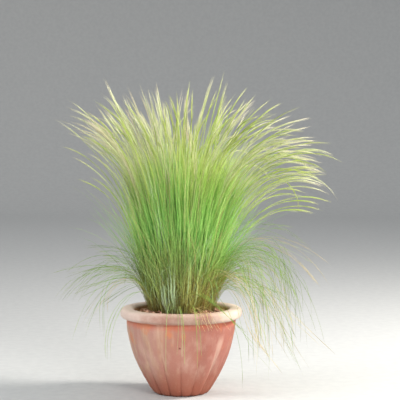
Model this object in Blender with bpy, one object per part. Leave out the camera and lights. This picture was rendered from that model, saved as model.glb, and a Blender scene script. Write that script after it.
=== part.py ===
"""Mexican feather grass growing in a fluted terracotta pot.

Metres, +Z up. The origin is the centre of the pot's base, on the surface the
pot stands on. +X is the side on which the grass arches furthest.

The clump is built as sheaves: each sheaf stands for the leaves or the
flowering stems that grow together from one spot of the crown, and is one
slender, tapering, closed solid that follows their common curve.
"""
import math

import bpy
import numpy as np

for old in list(bpy.data.objects):
    bpy.data.objects.remove(old, do_unlink=True)

# ---------------------------------------------------------------- dimensions
GAP = 0.0003                 # left between pieces that touch

POT_HEIGHT = 0.240
RIM_OUTER_R = 0.170
RIM_MOUTH_R = 0.1315
RIM_UNDERSIDE_Z = 0.2105
BASE_R = 0.0745
POT_FLOOR_Z = 0.016          # inside floor of the pot
FLUTES = 16
FLUTE_DEPTH = 0.0042         # at the foot; fades out at FLUTE_TOP_Z
FLUTE_TOP_Z = 0.172
POT_COLUMNS = 64             # four to a flute

DRAIN_HOLES = 3
DRAIN_HOLE_R = 0.007
DRAIN_CIRCLE_R = 0.043

SOIL_Z = 0.2220              # where the clump stands
SOIL_EDGE_Z = 0.2190         # at the pot's wall
SOIL_COLUMNS = 32
MULCH_INNER_R = 0.1005
MULCH_OUTER_R = 0.1306
MULCH_THICKNESS = 0.0052

CLUMP_R = 0.0870             # radius of the outermost ring of sheaves
CROWN_Z = SOIL_Z + GAP

# ----------------------------------------------------------------- materials


def finish(name, colour, roughness):
    mat = bpy.data.materials.new(name)
    mat.use_nodes = True
    bsdf = next(n for n in mat.node_tree.nodes if n.type == "BSDF_PRINCIPLED")
    bsdf.inputs["Base Color"].default_value = (*colour, 1.0)
    bsdf.inputs["Roughness"].default_value = roughness
    bsdf.inputs["Metallic"].default_value = 0.0
    return mat


TERRACOTTA = finish("terracotta", (0.60, 0.29, 0.20), 0.85)
SOIL = finish("potting_soil", (0.055, 0.030, 0.020), 0.95)
BARK = finish("bark_litter", (0.20, 0.11, 0.07), 0.90)
LEAF = finish("green_leaf", (0.21, 0.42, 0.07), 0.55)
STRAW = finish("straw_plume", (0.62, 0.60, 0.32), 0.60)
THIN_LEAF = finish("silver_green_leaf", (0.33, 0.44, 0.17), 0.55)

# ------------------------------------------------------------------- helpers


def add_object(name, verts, faces, mat, smooth=True):
    mesh = bpy.data.meshes.new(name)
    mesh.from_pydata([tuple(map(float, v)) for v in verts], [], faces)
    mesh.validate()
    mesh.update()
    if smooth:
        mesh.shade_smooth()
        mesh.set_sharp_from_angle(angle=math.radians(40))
    mesh.materials.append(mat)
    ob = bpy.data.objects.new(name, mesh)
    bpy.context.scene.collection.objects.link(ob)
    return ob


def turned(name, rings, columns, mat):
    """A closed solid of revolution. rings run from the underside's centre, up
    the outside, to the top's centre (or, on the pot, down its inside), each as
    a function of the azimuth that gives (radius, height). The first and the
    last ring are filled with a point on the axis."""
    verts, faces = [], []
    turns = [2 * math.pi * k / columns for k in range(columns)]
    for ring in rings:
        for a in turns:
            r, z = ring(a)
            verts.append((r * math.cos(a), r * math.sin(a), z))
    for i in range(len(rings) - 1):
        for k in range(columns):
            n = (k + 1) % columns
            faces.append((i * columns + k, i * columns + n,
                          (i + 1) * columns + n, (i + 1) * columns + k))
    low = len(verts)
    verts.append((0.0, 0.0, rings[0](0.0)[1]))
    high = len(verts)
    verts.append((0.0, 0.0, rings[-1](0.0)[1]))
    top = (len(rings) - 1) * columns
    for k in range(columns):
        n = (k + 1) % columns
        faces.append((low, n, k))
        faces.append((high, top + k, top + n))
    return add_object(name, verts, faces, mat)


def smooth_profile(points, z):
    """Radius at height z on a smooth curve through (z, radius) points."""
    zs = [p[0] for p in points]
    rs = [p[1] for p in points]
    if z <= zs[0]:
        return rs[0]
    if z >= zs[-1]:
        return rs[-1]
    i = max(j for j in range(len(zs) - 1) if zs[j] <= z)
    slope = [(rs[j + 1] - rs[j]) / (zs[j + 1] - zs[j]) for j in range(len(zs) - 1)]

    def tangent(j):
        if j == 0:
            return slope[0]
        if j == len(zs) - 1:
            return slope[-1]
        return 0.5 * (slope[j - 1] + slope[j])

    h = zs[i + 1] - zs[i]
    t = (z - zs[i]) / h
    return ((2 * t ** 3 - 3 * t ** 2 + 1) * rs[i]
            + (t ** 3 - 2 * t ** 2 + t) * h * tangent(i)
            + (-2 * t ** 3 + 3 * t ** 2) * rs[i + 1]
            + (t ** 3 - t ** 2) * h * tangent(i + 1))


# ----------------------------------------------------------------------- pot
# Bell-shaped body, widest under the rim, with a small cove below the rim.
OUTER = [(0.000, BASE_R), (0.010, 0.0832), (0.030, 0.0955), (0.055, 0.1095),
         (0.089, 0.1260), (0.125, 0.1388), (0.160, 0.1475), (0.190, 0.1520),
         (RIM_UNDERSIDE_Z, 0.1525)]
INNER = [(POT_FLOOR_Z, 0.0680), (0.024, 0.0780), (0.050, 0.0940), (0.085, 0.1100),
         (0.120, 0.1232), (0.155, 0.1315), (0.185, 0.1350), (0.210, 0.1352),
         (0.224, 0.1330)]


def crease(a):
    """0 on the crown of a flute, 1 in the crease between two."""
    return 1.0 - abs(math.cos(0.5 * FLUTES * (a + 0.5 * math.pi) + 0.5 * math.pi)) ** 0.6


def outer_ring(z, foot=0.0):
    fade = max(0.0, 1.0 - z / FLUTE_TOP_Z) ** 0.8
    r0 = smooth_profile(OUTER, z) - foot

    def ring(a):
        return r0 - FLUTE_DEPTH * fade * crease(a), z
    return ring


def plain_ring(r, z):
    return lambda a: (r, z)


def rim_rings():
    """The thick roll of the rim, from its underside out, over and in."""
    rings = []
    half_w = 0.5 * (RIM_OUTER_R - RIM_MOUTH_R)
    half_h = 0.5 * (POT_HEIGHT - RIM_UNDERSIDE_Z)
    centre_r = RIM_MOUTH_R + half_w
    centre_z = RIM_UNDERSIDE_Z + half_h
    for deg in (-62, -30, 0, 30, 58, 90, 124, 156, 186):
        t = math.radians(deg)
        c, s = math.cos(t), math.sin(t)
        # a squarish roll: a superellipse
        r = centre_r + half_w * math.copysign(abs(c) ** 0.72, c)
        z = centre_z + half_h * math.copysign(abs(s) ** 0.72, s)
        rings.append(plain_ring(r, z))
    return rings


pot_rings = [plain_ring(0.060, 0.0),
             outer_ring(0.0, 0.0016), outer_ring(0.0022)]
pot_rings += [outer_ring(z) for z in
              (0.010, 0.024, 0.042, 0.064, 0.090, 0.118, 0.146, 0.172, 0.196)]
pot_rings.append(plain_ring(0.1526, 0.2085))
pot_rings += rim_rings()
pot_rings += [plain_ring(smooth_profile(INNER, z), z) for z in
              (0.2160, 0.200, 0.180, 0.150, 0.120, 0.088, 0.056, 0.032, 0.0205)]
pot_rings.append(plain_ring(0.0680, POT_FLOOR_Z))
pot = turned("pot", pot_rings, POT_COLUMNS, TERRACOTTA)

for k in range(DRAIN_HOLES):
    a = math.radians(90 + 360 * k / DRAIN_HOLES)
    columns = 16
    verts = []
    for z in (-0.01, POT_FLOOR_Z + 0.01):
        for j in range(columns):
            b = 2 * math.pi * (j + 0.5) / columns
            verts.append((DRAIN_HOLE_R * math.cos(b), DRAIN_HOLE_R * math.sin(b), z))
    faces = [tuple(reversed(range(columns))), tuple(range(columns, 2 * columns))]
    faces += [(j, (j + 1) % columns, columns + (j + 1) % columns, columns + j)
              for j in range(columns)]
    cutter = add_object(f"drain_cutter_{k + 1}", verts, faces, TERRACOTTA, smooth=False)
    cutter.location = (DRAIN_CIRCLE_R * math.cos(a), DRAIN_CIRCLE_R * math.sin(a), 0.0)
    cutter.hide_render = True
    cutter.display_type = "WIRE"
    cut = pot.modifiers.new(f"drain_{k + 1}", "BOOLEAN")
    cut.operation = "DIFFERENCE"
    cut.solver = "EXACT"
    cut.object = cutter

# ---------------------------------------------------------------------- soil
# Moulded by the inside of the pot; a low flat mound under the clump.


def inside(z):
    return smooth_profile(INNER, z) - GAP - 0.0001


soil_rings = [plain_ring(0.0600, POT_FLOOR_Z + GAP),
              plain_ring(0.0672, POT_FLOOR_Z + GAP)]
soil_rings += [plain_ring(inside(z), z) for z in
               (0.0205, 0.032, 0.056, 0.088, 0.120, 0.150, 0.180, 0.200, 0.2145)]
soil_rings += [plain_ring(0.1322, SOIL_EDGE_Z - 0.0006),
               plain_ring(0.1310, SOIL_EDGE_Z),
               plain_ring(0.1160, SOIL_EDGE_Z + 0.0010),
               plain_ring(0.1020, SOIL_Z), plain_ring(0.0500, SOIL_Z)]
turned("soil", soil_rings, SOIL_COLUMNS, SOIL)

# --------------------------------------------------------------- bark mulch
# A loose ring of bark and dry litter between the clump and the pot's wall,
# lumpy on top.


def soil_top(r):
    """Height of the soil between the clump and the wall."""
    return float(np.interp(r, [0.1020, 0.1160, 0.1310],
                           [SOIL_Z, SOIL_EDGE_Z + 0.0010, SOIL_EDGE_Z]))


def mulch():
    columns, rows = 48, 4
    verts, faces = [], []
    radii = [MULCH_INNER_R, 0.1085, 0.1160, 0.1235, MULCH_OUTER_R]
    thick = [0.0022, 0.0046, MULCH_THICKNESS, 0.0046, 0.0026]
    count = len(radii)
    for k in range(columns):
        a = 2 * math.pi * k / columns
        for r, t in zip(radii, thick):
            lump = (0.42 * math.sin(5 * a + 61 * r) + 0.34 * math.sin(11 * a - 130 * r)
                    + 0.24 * math.sin(17 * a + 410 * r))
            z = soil_top(r) + GAP + 0.0001 + t * (1.0 + 0.38 * lump)
            verts.append((r * math.cos(a), r * math.sin(a), z))
        for r in reversed(radii):
            verts.append((r * math.cos(a), r * math.sin(a), soil_top(r) + GAP + 0.0001))
    around = 2 * count
    for k in range(columns):
        n = (k + 1) % columns
        for j in range(around):
            m = (j + 1) % around
            faces.append((k * around + j, k * around + m, n * around + m, n * around + j))
    return add_object("bark_mulch", verts, faces, BARK)


mulch()

# --------------------------------------------------------------------- grass
# Every sheaf lies in its own upright plane through the pot's axis and follows
# one family of curves. Its lean from the vertical is
#     lean + bend * (share of its length) ** power,
# so it rises almost straight and arches near its end, as the real leaves do.
# Outer sheaves lean and arch more than inner ones, so no two cross.


def sheaf_path(base_r, azimuth, length, lean, bend, power, stations, knee=None):
    """Points along a sheaf's centre line, and its length at each. With a knee,
    most of the bend comes around that share of its length."""
    fine = 240
    u = np.linspace(0.0, 1.0, fine + 1)
    share = u ** power
    if knee is not None:
        share = share * (1.0 + knee ** power) / (share + knee ** power)
    angle = np.radians(lean + bend * share)
    step = length / fine
    r = base_r + np.concatenate(
        [[0.0], np.cumsum(0.5 * (np.sin(angle[1:]) + np.sin(angle[:-1])))]) * step
    z = CROWN_Z + np.concatenate(
        [[0.0], np.cumsum(0.5 * (np.cos(angle[1:]) + np.cos(angle[:-1])))]) * step
    # more stations where the sheaf bends more
    weight = np.concatenate([[0.0], np.cumsum(0.5 + np.abs(np.diff(angle)) * fine / 2.6)])
    at = np.interp(np.linspace(0.0, weight[-1], stations), weight, u)
    a = math.radians(azimuth)
    rr, zz = np.interp(at, u, r), np.interp(at, u, z)
    points = np.stack([rr * math.cos(a), rr * math.sin(a), zz], 1)
    return points, at


class Sheaf:
    def __init__(self, name, mat, base_r, azimuth, length, lean, bend, power,
                 thick, stations, knee=None):
        self.name, self.mat = name, mat
        self.points, self.at = sheaf_path(base_r, azimuth, length, lean, bend,
                                          power, stations, knee)
        self.side = np.array([-math.sin(math.radians(azimuth)),
                              math.cos(math.radians(azimuth)), 0.0])
        # slim at the crown, fullest a third of the way up, drawn out to a tip
        swell = np.interp(self.at, [0.0, 0.12, 0.35, 0.7, 1.0],
                          [0.80, 0.90, 1.00, 0.78, 0.30])
        self.radii = thick * swell

    def samples(self):
        """Points close together along the sheaf's own straight segments."""
        out = []
        for a, b in zip(self.points[:-1], self.points[1:]):
            out += [a + (b - a) * t for t in np.linspace(0.0, 1.0, 9)]
        return np.array(out).reshape(len(self.points) - 1, 9, 3)


sheaves = []
leaf_count = plume_count = 0


def towards_right(azimuth):
    return math.cos(math.radians(azimuth))


# The clump arches further over on its right than on its left.
ARCH_RIGHT, ARCH_LEFT = 0.13, 0.32


# count, base radius, first azimuth, lean, bend, power, stem length, leaf length
RINGS = [
    (1, 0.0000, 0.0, 0.6, 5.0, 2.0, 0.640, 0.610),
    (6, 0.0245, 20.0, 2.2, 21.0, 2.2, 0.668, 0.560),
    (10, 0.0465, 9.0, 4.6, 40.0, 2.4, 0.676, 0.560),
    (12, 0.0670, 0.0, 7.0, 64.0, 2.5, 0.690, 0.550),
    (14, CLUMP_R, 360.0 / 28, 9.0, 84.0, 2.3, 0.665, 0.510),
]
for row, (count, base_r, first, lean, bend, power, stem, leaf) in enumerate(RINGS):
    for k in range(count):
        azimuth = first + 360.0 * k / count
        right = towards_right(azimuth)
        flowering = (k + row) % 2 == 1
        length = (stem if flowering else leaf) * (1.0 + 0.035 * right * (row / 4.0))
        bent = bend * (1.0 + (ARCH_RIGHT if right > 0 else ARCH_LEFT) * right)
        if not flowering:      # a leaf is shorter but follows the same curve
            bent *= (length / stem) ** power
        if flowering:
            plume_count += 1
            name, mat, thick = f"flower_plume_{plume_count:02d}", STRAW, 0.0052
        else:
            leaf_count += 1
            name, mat, thick = f"leaf_tuft_{leaf_count:02d}", LEAF, 0.0066
        stations = 8 if row < 2 else 9 if row < 3 else 10
        sheaves.append(Sheaf(name, mat, base_r, azimuth, length, lean, bent,
                             power, thick, stations))

# Loose outer leaves: they rise from the clump's edge, fold over past the rim and
# hang beside the pot. name, azimuth, length, lean, bend, knee
LOOSE = [
    ("arching_blades_right_1", 0.0, 0.610, 11.0, 162.0, 0.42),
    ("arching_blades_right_2", -25.7, 0.540, 15.0, 158.0, 0.42),
    ("arching_blades_right_3", 25.7, 0.530, 11.0, 148.0, 0.44),
    ("arching_blades_right_4", -51.4, 0.470, 16.0, 150.0, 0.42),
    ("arching_blades_left_1", 180.0, 0.415, 13.0, 130.0, 0.48),
    ("arching_blades_left_2", 205.7, 0.400, 17.0, 146.0, 0.42),
    ("arching_blades_left_3", 154.3, 0.410, 12.0, 132.0, 0.48),
    ("arching_blades_back_1", 77.1, 0.420, 14.0, 134.0, 0.46),
    ("arching_blades_back_2", 102.9, 0.440, 13.0, 132.0, 0.46),
    ("rim_blades_front_1", 257.1, 0.280, 30.0, 146.0, 0.30),
    ("rim_blades_front_2", 282.9, 0.255, 32.0, 146.0, 0.30),
]
for name, azimuth, length, lean, bend, knee in LOOSE:
    sheaves.append(Sheaf(name, THIN_LEAF, 0.0945, azimuth, length, lean, bend,
                         3.0, 0.0034, 12, knee))

# Where sheaves run close together they stay slim enough to keep apart.
clouds = [s.samples() for s in sheaves]
for i, s in enumerate(sheaves):
    others = np.concatenate([c.reshape(-1, 3) for j, c in enumerate(clouds) if j != i])
    room = []
    for segment in clouds[i]:
        d = np.linalg.norm(segment[:, None, :] - others[None, :, :], axis=2).min()
        room.append(d)
    for j in range(len(s.radii)):
        near = min(room[max(j - 1, 0):j + 1])
        s.radii[j] = min(s.radii[j], 0.42 * near)


def add_sheaf(s, sides=6):
    """The closed tapering tube of a sheaf: flat at the crown, pointed above."""
    pts = s.points
    verts, faces = [], []
    for i, p in enumerate(pts[:-1]):
        if i == 0:
            t = np.array([0.0, 0.0, 1.0])    # cut level where it meets the soil
        else:
            t = pts[i + 1] - pts[i - 1]
            t /= np.linalg.norm(t)
        up = np.cross(s.side, t)
        up /= np.linalg.norm(up)
        for k in range(sides):
            b = 2 * math.pi * (k + 0.5) / sides
            verts.append(p + s.radii[i] * (math.cos(b) * s.side + math.sin(b) * up))
    last = len(pts) - 2
    tip = len(verts)
    verts.append(pts[-1])
    faces.append(tuple(range(sides)))
    for i in range(last):
        for k in range(sides):
            n = (k + 1) % sides
            faces.append((i * sides + k, (i + 1) * sides + k,
                          (i + 1) * sides + n, i * sides + n))
    for k in range(sides):
        n = (k + 1) % sides
        faces.append((last * sides + k, tip, last * sides + n))
    # turn every face outwards
    a, b, c = (np.array(verts[j]) for j in faces[1][:3])
    middle = 0.5 * (pts[0] + pts[1])
    if np.dot(np.cross(b - a, c - a), (a + c) / 2 - middle) < 0:
        faces = [tuple(reversed(f)) for f in faces]
    return add_object(s.name, verts, faces, s.mat)


for s in sheaves:
    add_sheaf(s)
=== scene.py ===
import math

import bpy
import mathutils
import numpy as np
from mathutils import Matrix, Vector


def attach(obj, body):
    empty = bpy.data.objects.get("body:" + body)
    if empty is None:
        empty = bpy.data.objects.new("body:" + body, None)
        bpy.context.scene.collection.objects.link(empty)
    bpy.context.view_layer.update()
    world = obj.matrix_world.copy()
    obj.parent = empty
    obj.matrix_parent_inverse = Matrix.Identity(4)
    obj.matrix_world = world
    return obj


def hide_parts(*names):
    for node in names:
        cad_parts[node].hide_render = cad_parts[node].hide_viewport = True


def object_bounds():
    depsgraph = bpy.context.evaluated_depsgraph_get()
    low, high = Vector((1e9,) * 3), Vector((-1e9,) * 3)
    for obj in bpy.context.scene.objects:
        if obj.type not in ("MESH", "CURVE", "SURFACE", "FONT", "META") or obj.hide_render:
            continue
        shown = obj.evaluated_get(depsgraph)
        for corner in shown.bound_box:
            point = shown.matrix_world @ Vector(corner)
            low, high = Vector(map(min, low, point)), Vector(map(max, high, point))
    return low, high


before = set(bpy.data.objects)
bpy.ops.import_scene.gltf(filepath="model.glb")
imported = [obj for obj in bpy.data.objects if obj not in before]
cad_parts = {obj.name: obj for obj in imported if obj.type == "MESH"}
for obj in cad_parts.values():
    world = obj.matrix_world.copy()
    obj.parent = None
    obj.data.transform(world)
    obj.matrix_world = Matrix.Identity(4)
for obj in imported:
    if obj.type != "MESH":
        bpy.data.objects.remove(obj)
CAD_LOW, CAD_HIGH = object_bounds()
BODY = "root"

# ------------------------------------------------------------------ dimensions
# The same sizes as the construction, in metres.
POT_HEIGHT = 0.240
RIM_OUTER_R = 0.170
RIM_MOUTH_R = 0.1315
RIM_UNDERSIDE_Z = 0.2105
BASE_R = 0.0745
POT_FLOOR_Z = 0.016
FLUTES = 16
FLUTE_DEPTH = 0.0042
FLUTE_TOP_Z = 0.172
DRAIN_HOLES = 3
DRAIN_HOLE_R = 0.007
DRAIN_CIRCLE_R = 0.043
SOIL_Z = 0.2220
SOIL_EDGE_Z = 0.2190
CROWN_Z = SOIL_Z + 0.0003
CLUMP_R = 0.0870

OUTER = [(0.000, BASE_R), (0.010, 0.0832), (0.030, 0.0955), (0.055, 0.1095),
         (0.089, 0.1260), (0.125, 0.1388), (0.160, 0.1475), (0.190, 0.1520),
         (RIM_UNDERSIDE_Z, 0.1525)]
INNER = [(POT_FLOOR_Z, 0.0680), (0.024, 0.0780), (0.050, 0.0940), (0.085, 0.1100),
         (0.120, 0.1232), (0.155, 0.1315), (0.185, 0.1350), (0.210, 0.1352),
         (0.224, 0.1330)]

# count, base radius, first azimuth, lean, bend, power, stem length, leaf length
RINGS = [
    (1, 0.0000, 0.0, 0.6, 5.0, 2.0, 0.640, 0.610),
    (6, 0.0245, 20.0, 2.2, 21.0, 2.2, 0.668, 0.560),
    (10, 0.0465, 9.0, 4.6, 40.0, 2.4, 0.676, 0.560),
    (12, 0.0670, 0.0, 7.0, 64.0, 2.5, 0.690, 0.550),
    (14, CLUMP_R, 360.0 / 28, 9.0, 84.0, 2.3, 0.665, 0.510),
]
# The clump arches further over on its right than on its left.
ARCH_RIGHT, ARCH_LEFT = 0.13, 0.32
# name, azimuth, length, lean, bend, knee
LOOSE = [
    ("arching_blades_right_1", 0.0, 0.610, 11.0, 162.0, 0.42),
    ("arching_blades_right_2", -25.7, 0.540, 15.0, 158.0, 0.42),
    ("arching_blades_right_3", 25.7, 0.530, 11.0, 148.0, 0.44),
    ("arching_blades_right_4", -51.4, 0.470, 16.0, 150.0, 0.42),
    ("arching_blades_left_1", 180.0, 0.415, 13.0, 130.0, 0.48),
    ("arching_blades_left_2", 205.7, 0.400, 17.0, 146.0, 0.42),
    ("arching_blades_left_3", 154.3, 0.410, 12.0, 132.0, 0.48),
    ("arching_blades_back_1", 77.1, 0.420, 14.0, 134.0, 0.46),
    ("arching_blades_back_2", 102.9, 0.440, 13.0, 132.0, 0.46),
    ("rim_blades_front_1", 257.1, 0.280, 30.0, 146.0, 0.30),
    ("rim_blades_front_2", 282.9, 0.255, 32.0, 146.0, 0.30),
]

rng = np.random.default_rng(20417)

# --------------------------------------------------------------------- camera
CAMERA_X = 0.053
CAMERA_DISTANCE = 4.0
CAMERA_HEIGHT = 0.7736
camera_data = bpy.data.cameras.new("camera")
camera_data.lens = 36.0 * 1435.0 / 400.0
camera_data.sensor_width = 36.0
camera_data.clip_start = 0.05
camera_data.clip_end = 60.0
camera = bpy.data.objects.new("camera", camera_data)
bpy.context.scene.collection.objects.link(camera)
camera.location = (CAMERA_X, -CAMERA_DISTANCE, CAMERA_HEIGHT)
camera.rotation_euler = (math.radians(90.0 - 3.336), 0.0, 0.0)
bpy.context.scene.camera = camera

# ---------------------------------------------------------------- node helpers


class Nodes:
    """A short way to write a material's node tree."""

    def __init__(self, name):
        self.mat = bpy.data.materials.new(name)
        self.mat.use_nodes = True
        self.tree = self.mat.node_tree
        self.bsdf = next(n for n in self.tree.nodes if n.type == "BSDF_PRINCIPLED")

    def add(self, kind, **inputs):
        node = self.tree.nodes.new(kind)
        for key, value in inputs.items():
            key = key.replace("_", " ")
            self.put(node.inputs[key], value)
        return node

    def put(self, socket, value):
        if isinstance(value, bpy.types.NodeSocket):
            self.tree.links.new(value, socket)
        else:
            socket.default_value = value

    def attribute(self, name):
        node = self.tree.nodes.new("ShaderNodeAttribute")
        node.attribute_name = name
        return node.outputs["Fac"]

    def coords(self, scale=(1.0, 1.0, 1.0)):
        tex = self.tree.nodes.new("ShaderNodeTexCoord")
        if tuple(scale) == (1.0, 1.0, 1.0):
            return tex.outputs["Object"]
        mapping = self.tree.nodes.new("ShaderNodeMapping")
        mapping.inputs["Scale"].default_value = scale
        self.tree.links.new(tex.outputs["Object"], mapping.inputs["Vector"])
        return mapping.outputs["Vector"]

    def noise(self, vector, scale, detail=3.0, rough=0.55, distortion=0.0):
        node = self.tree.nodes.new("ShaderNodeTexNoise")
        node.noise_dimensions = "3D"
        self.put(node.inputs["Vector"], vector)
        node.inputs["Scale"].default_value = scale
        node.inputs["Detail"].default_value = detail
        node.inputs["Roughness"].default_value = rough
        node.inputs["Distortion"].default_value = distortion
        return node.outputs["Fac"]

    def voronoi(self, vector, scale, feature="F1", out="Distance"):
        node = self.tree.nodes.new("ShaderNodeTexVoronoi")
        node.feature = feature
        self.put(node.inputs["Vector"], vector)
        node.inputs["Scale"].default_value = scale
        return node.outputs[out]

    def ramp(self, fac, stops, interpolation="LINEAR"):
        node = self.tree.nodes.new("ShaderNodeValToRGB")
        node.color_ramp.interpolation = interpolation
        elements = node.color_ramp.elements
        while len(elements) > 1:
            elements.remove(elements[-1])
        elements[0].position = stops[0][0]
        elements[0].color = self.rgba(stops[0][1])
        for position, colour in stops[1:]:
            e = elements.new(position)
            e.color = self.rgba(colour)
        self.put(node.inputs["Fac"], fac)
        return node.outputs["Color"]

    @staticmethod
    def rgba(c):
        if isinstance(c, (int, float)):
            return (c, c, c, 1.0)
        return (*c, 1.0)

    def mix(self, fac, a, b, blend="MIX"):
        node = self.tree.nodes.new("ShaderNodeMix")
        node.data_type = "RGBA"
        node.blend_type = blend
        node.clamp_factor = True
        for socket, value in ((node.inputs["Factor"], fac),):
            self.put(socket, value)
        a_in = [s for s in node.inputs if s.name == "A" and s.type == "RGBA"][0]
        b_in = [s for s in node.inputs if s.name == "B" and s.type == "RGBA"][0]
        for socket, value in ((a_in, a), (b_in, b)):
            if isinstance(value, bpy.types.NodeSocket):
                self.tree.links.new(value, socket)
            else:
                socket.default_value = self.rgba(value)
        return [s for s in node.outputs if s.type == "RGBA"][0]

    def math(self, op, a, b=0.0, clamp=False):
        node = self.tree.nodes.new("ShaderNodeMath")
        node.operation = op
        node.use_clamp = clamp
        self.put(node.inputs[0], a)
        if len(node.inputs) > 1:
            self.put(node.inputs[1], b)
        return node.outputs[0]

    def remap(self, value, low, high, to_low=0.0, to_high=1.0, smooth=False):
        node = self.tree.nodes.new("ShaderNodeMapRange")
        node.clamp = True
        if smooth:
            node.interpolation_type = "SMOOTHSTEP"
        self.put(node.inputs["Value"], value)
        node.inputs["From Min"].default_value = low
        node.inputs["From Max"].default_value = high
        node.inputs["To Min"].default_value = to_low
        node.inputs["To Max"].default_value = to_high
        return node.outputs["Result"]

    def axis(self, name):
        """One coordinate of a point of the object."""
        sep = self.tree.nodes.new("ShaderNodeSeparateXYZ")
        self.tree.links.new(self.coords(), sep.inputs[0])
        return sep.outputs[name]

    def bump(self, height, strength, distance, normal=None):
        node = self.tree.nodes.new("ShaderNodeBump")
        node.inputs["Strength"].default_value = strength
        node.inputs["Distance"].default_value = distance
        self.put(node.inputs["Height"], height)
        if normal is not None:
            self.put(node.inputs["Normal"], normal)
        return node.outputs["Normal"]

    def finish(self, colour, roughness, normal=None, specular=0.5):
        self.put(self.bsdf.inputs["Base Color"], colour)
        self.put(self.bsdf.inputs["Roughness"], roughness)
        self.bsdf.inputs["Specular IOR Level"].default_value = specular
        if normal is not None:
            self.put(self.bsdf.inputs["Normal"], normal)
        return self.mat


def srgb(r, g, b):
    """A display colour, 0 to 255, as the linear numbers that shaders take."""
    out = []
    for c in (r, g, b):
        c /= 255.0
        out.append(c / 12.92 if c <= 0.04045 else ((c + 0.055) / 1.055) ** 2.4)
    return tuple(out)


# ------------------------------------------------------------------- materials
def leaf_material():
    """Leaves: tan at the crown, vivid green in the middle, straw at the tip.
    Each leaf has a tone of its own, from dry through green to silvery, and
    the leaves of a wisp are about as bright as each other."""
    n = Nodes("leaf_surface")
    along, tone, light = n.attribute("along"), n.attribute("tone"), n.attribute("light")
    green = n.ramp(along, [(0.00, srgb(160, 134, 76)), (0.10, srgb(158, 146, 70)),
                           (0.26, srgb(156, 182, 80)), (0.49, srgb(158, 230, 110)),
                           (0.68, srgb(178, 238, 114)), (0.86, srgb(198, 228, 128)),
                           (1.00, srgb(224, 220, 158))])
    fresh = n.ramp(along, [(0.00, srgb(146, 138, 68)), (0.12, srgb(136, 146, 58)),
                           (0.28, srgb(138, 178, 76)), (0.48, srgb(140, 222, 104)),
                           (0.72, srgb(164, 236, 108)), (1.00, srgb(200, 216, 128))])
    dry = n.ramp(along, [(0.00, srgb(176, 134, 74)), (0.18, srgb(202, 168, 98)),
                         (0.50, srgb(222, 206, 130)), (1.00, srgb(238, 224, 178))])
    silver = n.ramp(along, [(0.00, srgb(196, 202, 160)), (0.20, srgb(206, 228, 194)),
                            (0.50, srgb(212, 240, 198)), (1.00, srgb(236, 240, 206))])
    colour = n.mix(n.remap(tone, 0.30, 0.62), green, fresh)
    # painted sunlight shining through the leaves makes the right of the clump yellower; its upper
    # left is creamier
    x, z = n.axis("X"), n.axis("Z")
    high = n.remap(z, 0.46, 0.66, 0.0, 1.0, True)
    colour = n.mix(n.math("MULTIPLY", high, n.remap(x, -0.01, 0.06, 0.0, 0.42, True)),
                   colour, srgb(206, 220, 78))
    colour = n.mix(n.math("MULTIPLY", high, n.remap(x, -0.03, -0.12, 0.0, 0.55, True)),
                   colour, srgb(216, 216, 142))
    # painted shade: deeper and more olive low down, on the left and in the middle, away from the
    # light
    low = n.math("MULTIPLY", n.remap(z, 0.50, 0.34, 0.0, 1.0, True),
                 n.remap(x, 0.07, -0.01, 0.06, 0.34, True))
    colour = n.mix(low, colour, srgb(92, 96, 48))
    colour = n.mix(n.remap(tone, 0.16, 0.12), colour, dry)
    colour = n.mix(n.remap(tone, 0.90, 0.93), colour, silver)
    # broad patches through the clump, some yellower and some deeper
    patch = n.noise(n.coords((1.0, 1.0, 0.45)), 11.0, 2.0)
    colour = n.mix(n.remap(patch, 0.54, 0.72, 0.0, 0.32), colour, srgb(206, 214, 84))
    colour = n.mix(n.remap(patch, 0.46, 0.30, 0.0, 0.30), colour, srgb(98, 170, 64))
    # gold at the foot, stronger on the right where it also stands for painted sunlight
    gold_and_sunlight = n.math("MULTIPLY", n.remap(z, 0.38, 0.27, 0.0, 1.0, True),
                  n.remap(x, -0.05, 0.06, 0.16, 0.84, True))
    gold_and_sunlight = n.math("MULTIPLY", gold_and_sunlight, n.remap(tone, 0.93, 0.90, 0.15, 1.0))
    colour = n.mix(gold_and_sunlight, colour, srgb(216, 182, 94))
    # the leaves in full light are paler and yellower
    colour = n.mix(n.remap(light, 0.76, 0.96, 0.0, 0.60), colour, srgb(214, 242, 142))
    shade = n.remap(light, 0.0, 0.9, 0.56, 1.0)
    # painted shade: low down on the left and in the middle, all but the brightest and the silvery
    # leaves are darker
    painted_low_shade = n.math("MULTIPLY", low, n.remap(light, 0.92, 0.70, 0.0, 1.50))
    painted_low_shade = n.math("MULTIPLY", painted_low_shade, n.remap(tone, 0.93, 0.90))
    shade = n.math("MULTIPLY", shade, n.math("SUBTRACT", 1.0, painted_low_shade))
    colour = n.mix(1.0, colour, n.ramp(shade, [(0.0, 0.0), (1.0, 1.0)]), "MULTIPLY")
    streak = n.noise(n.coords((1.0, 1.0, 0.05)), 260.0, 1.0)
    colour = n.mix(n.remap(streak, 0.45, 0.75, 0.0, 0.25), colour, srgb(232, 236, 160))
    rough = n.remap(streak, 0.3, 0.7, 0.42, 0.62)
    return n.finish(colour, rough, specular=0.35)


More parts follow.
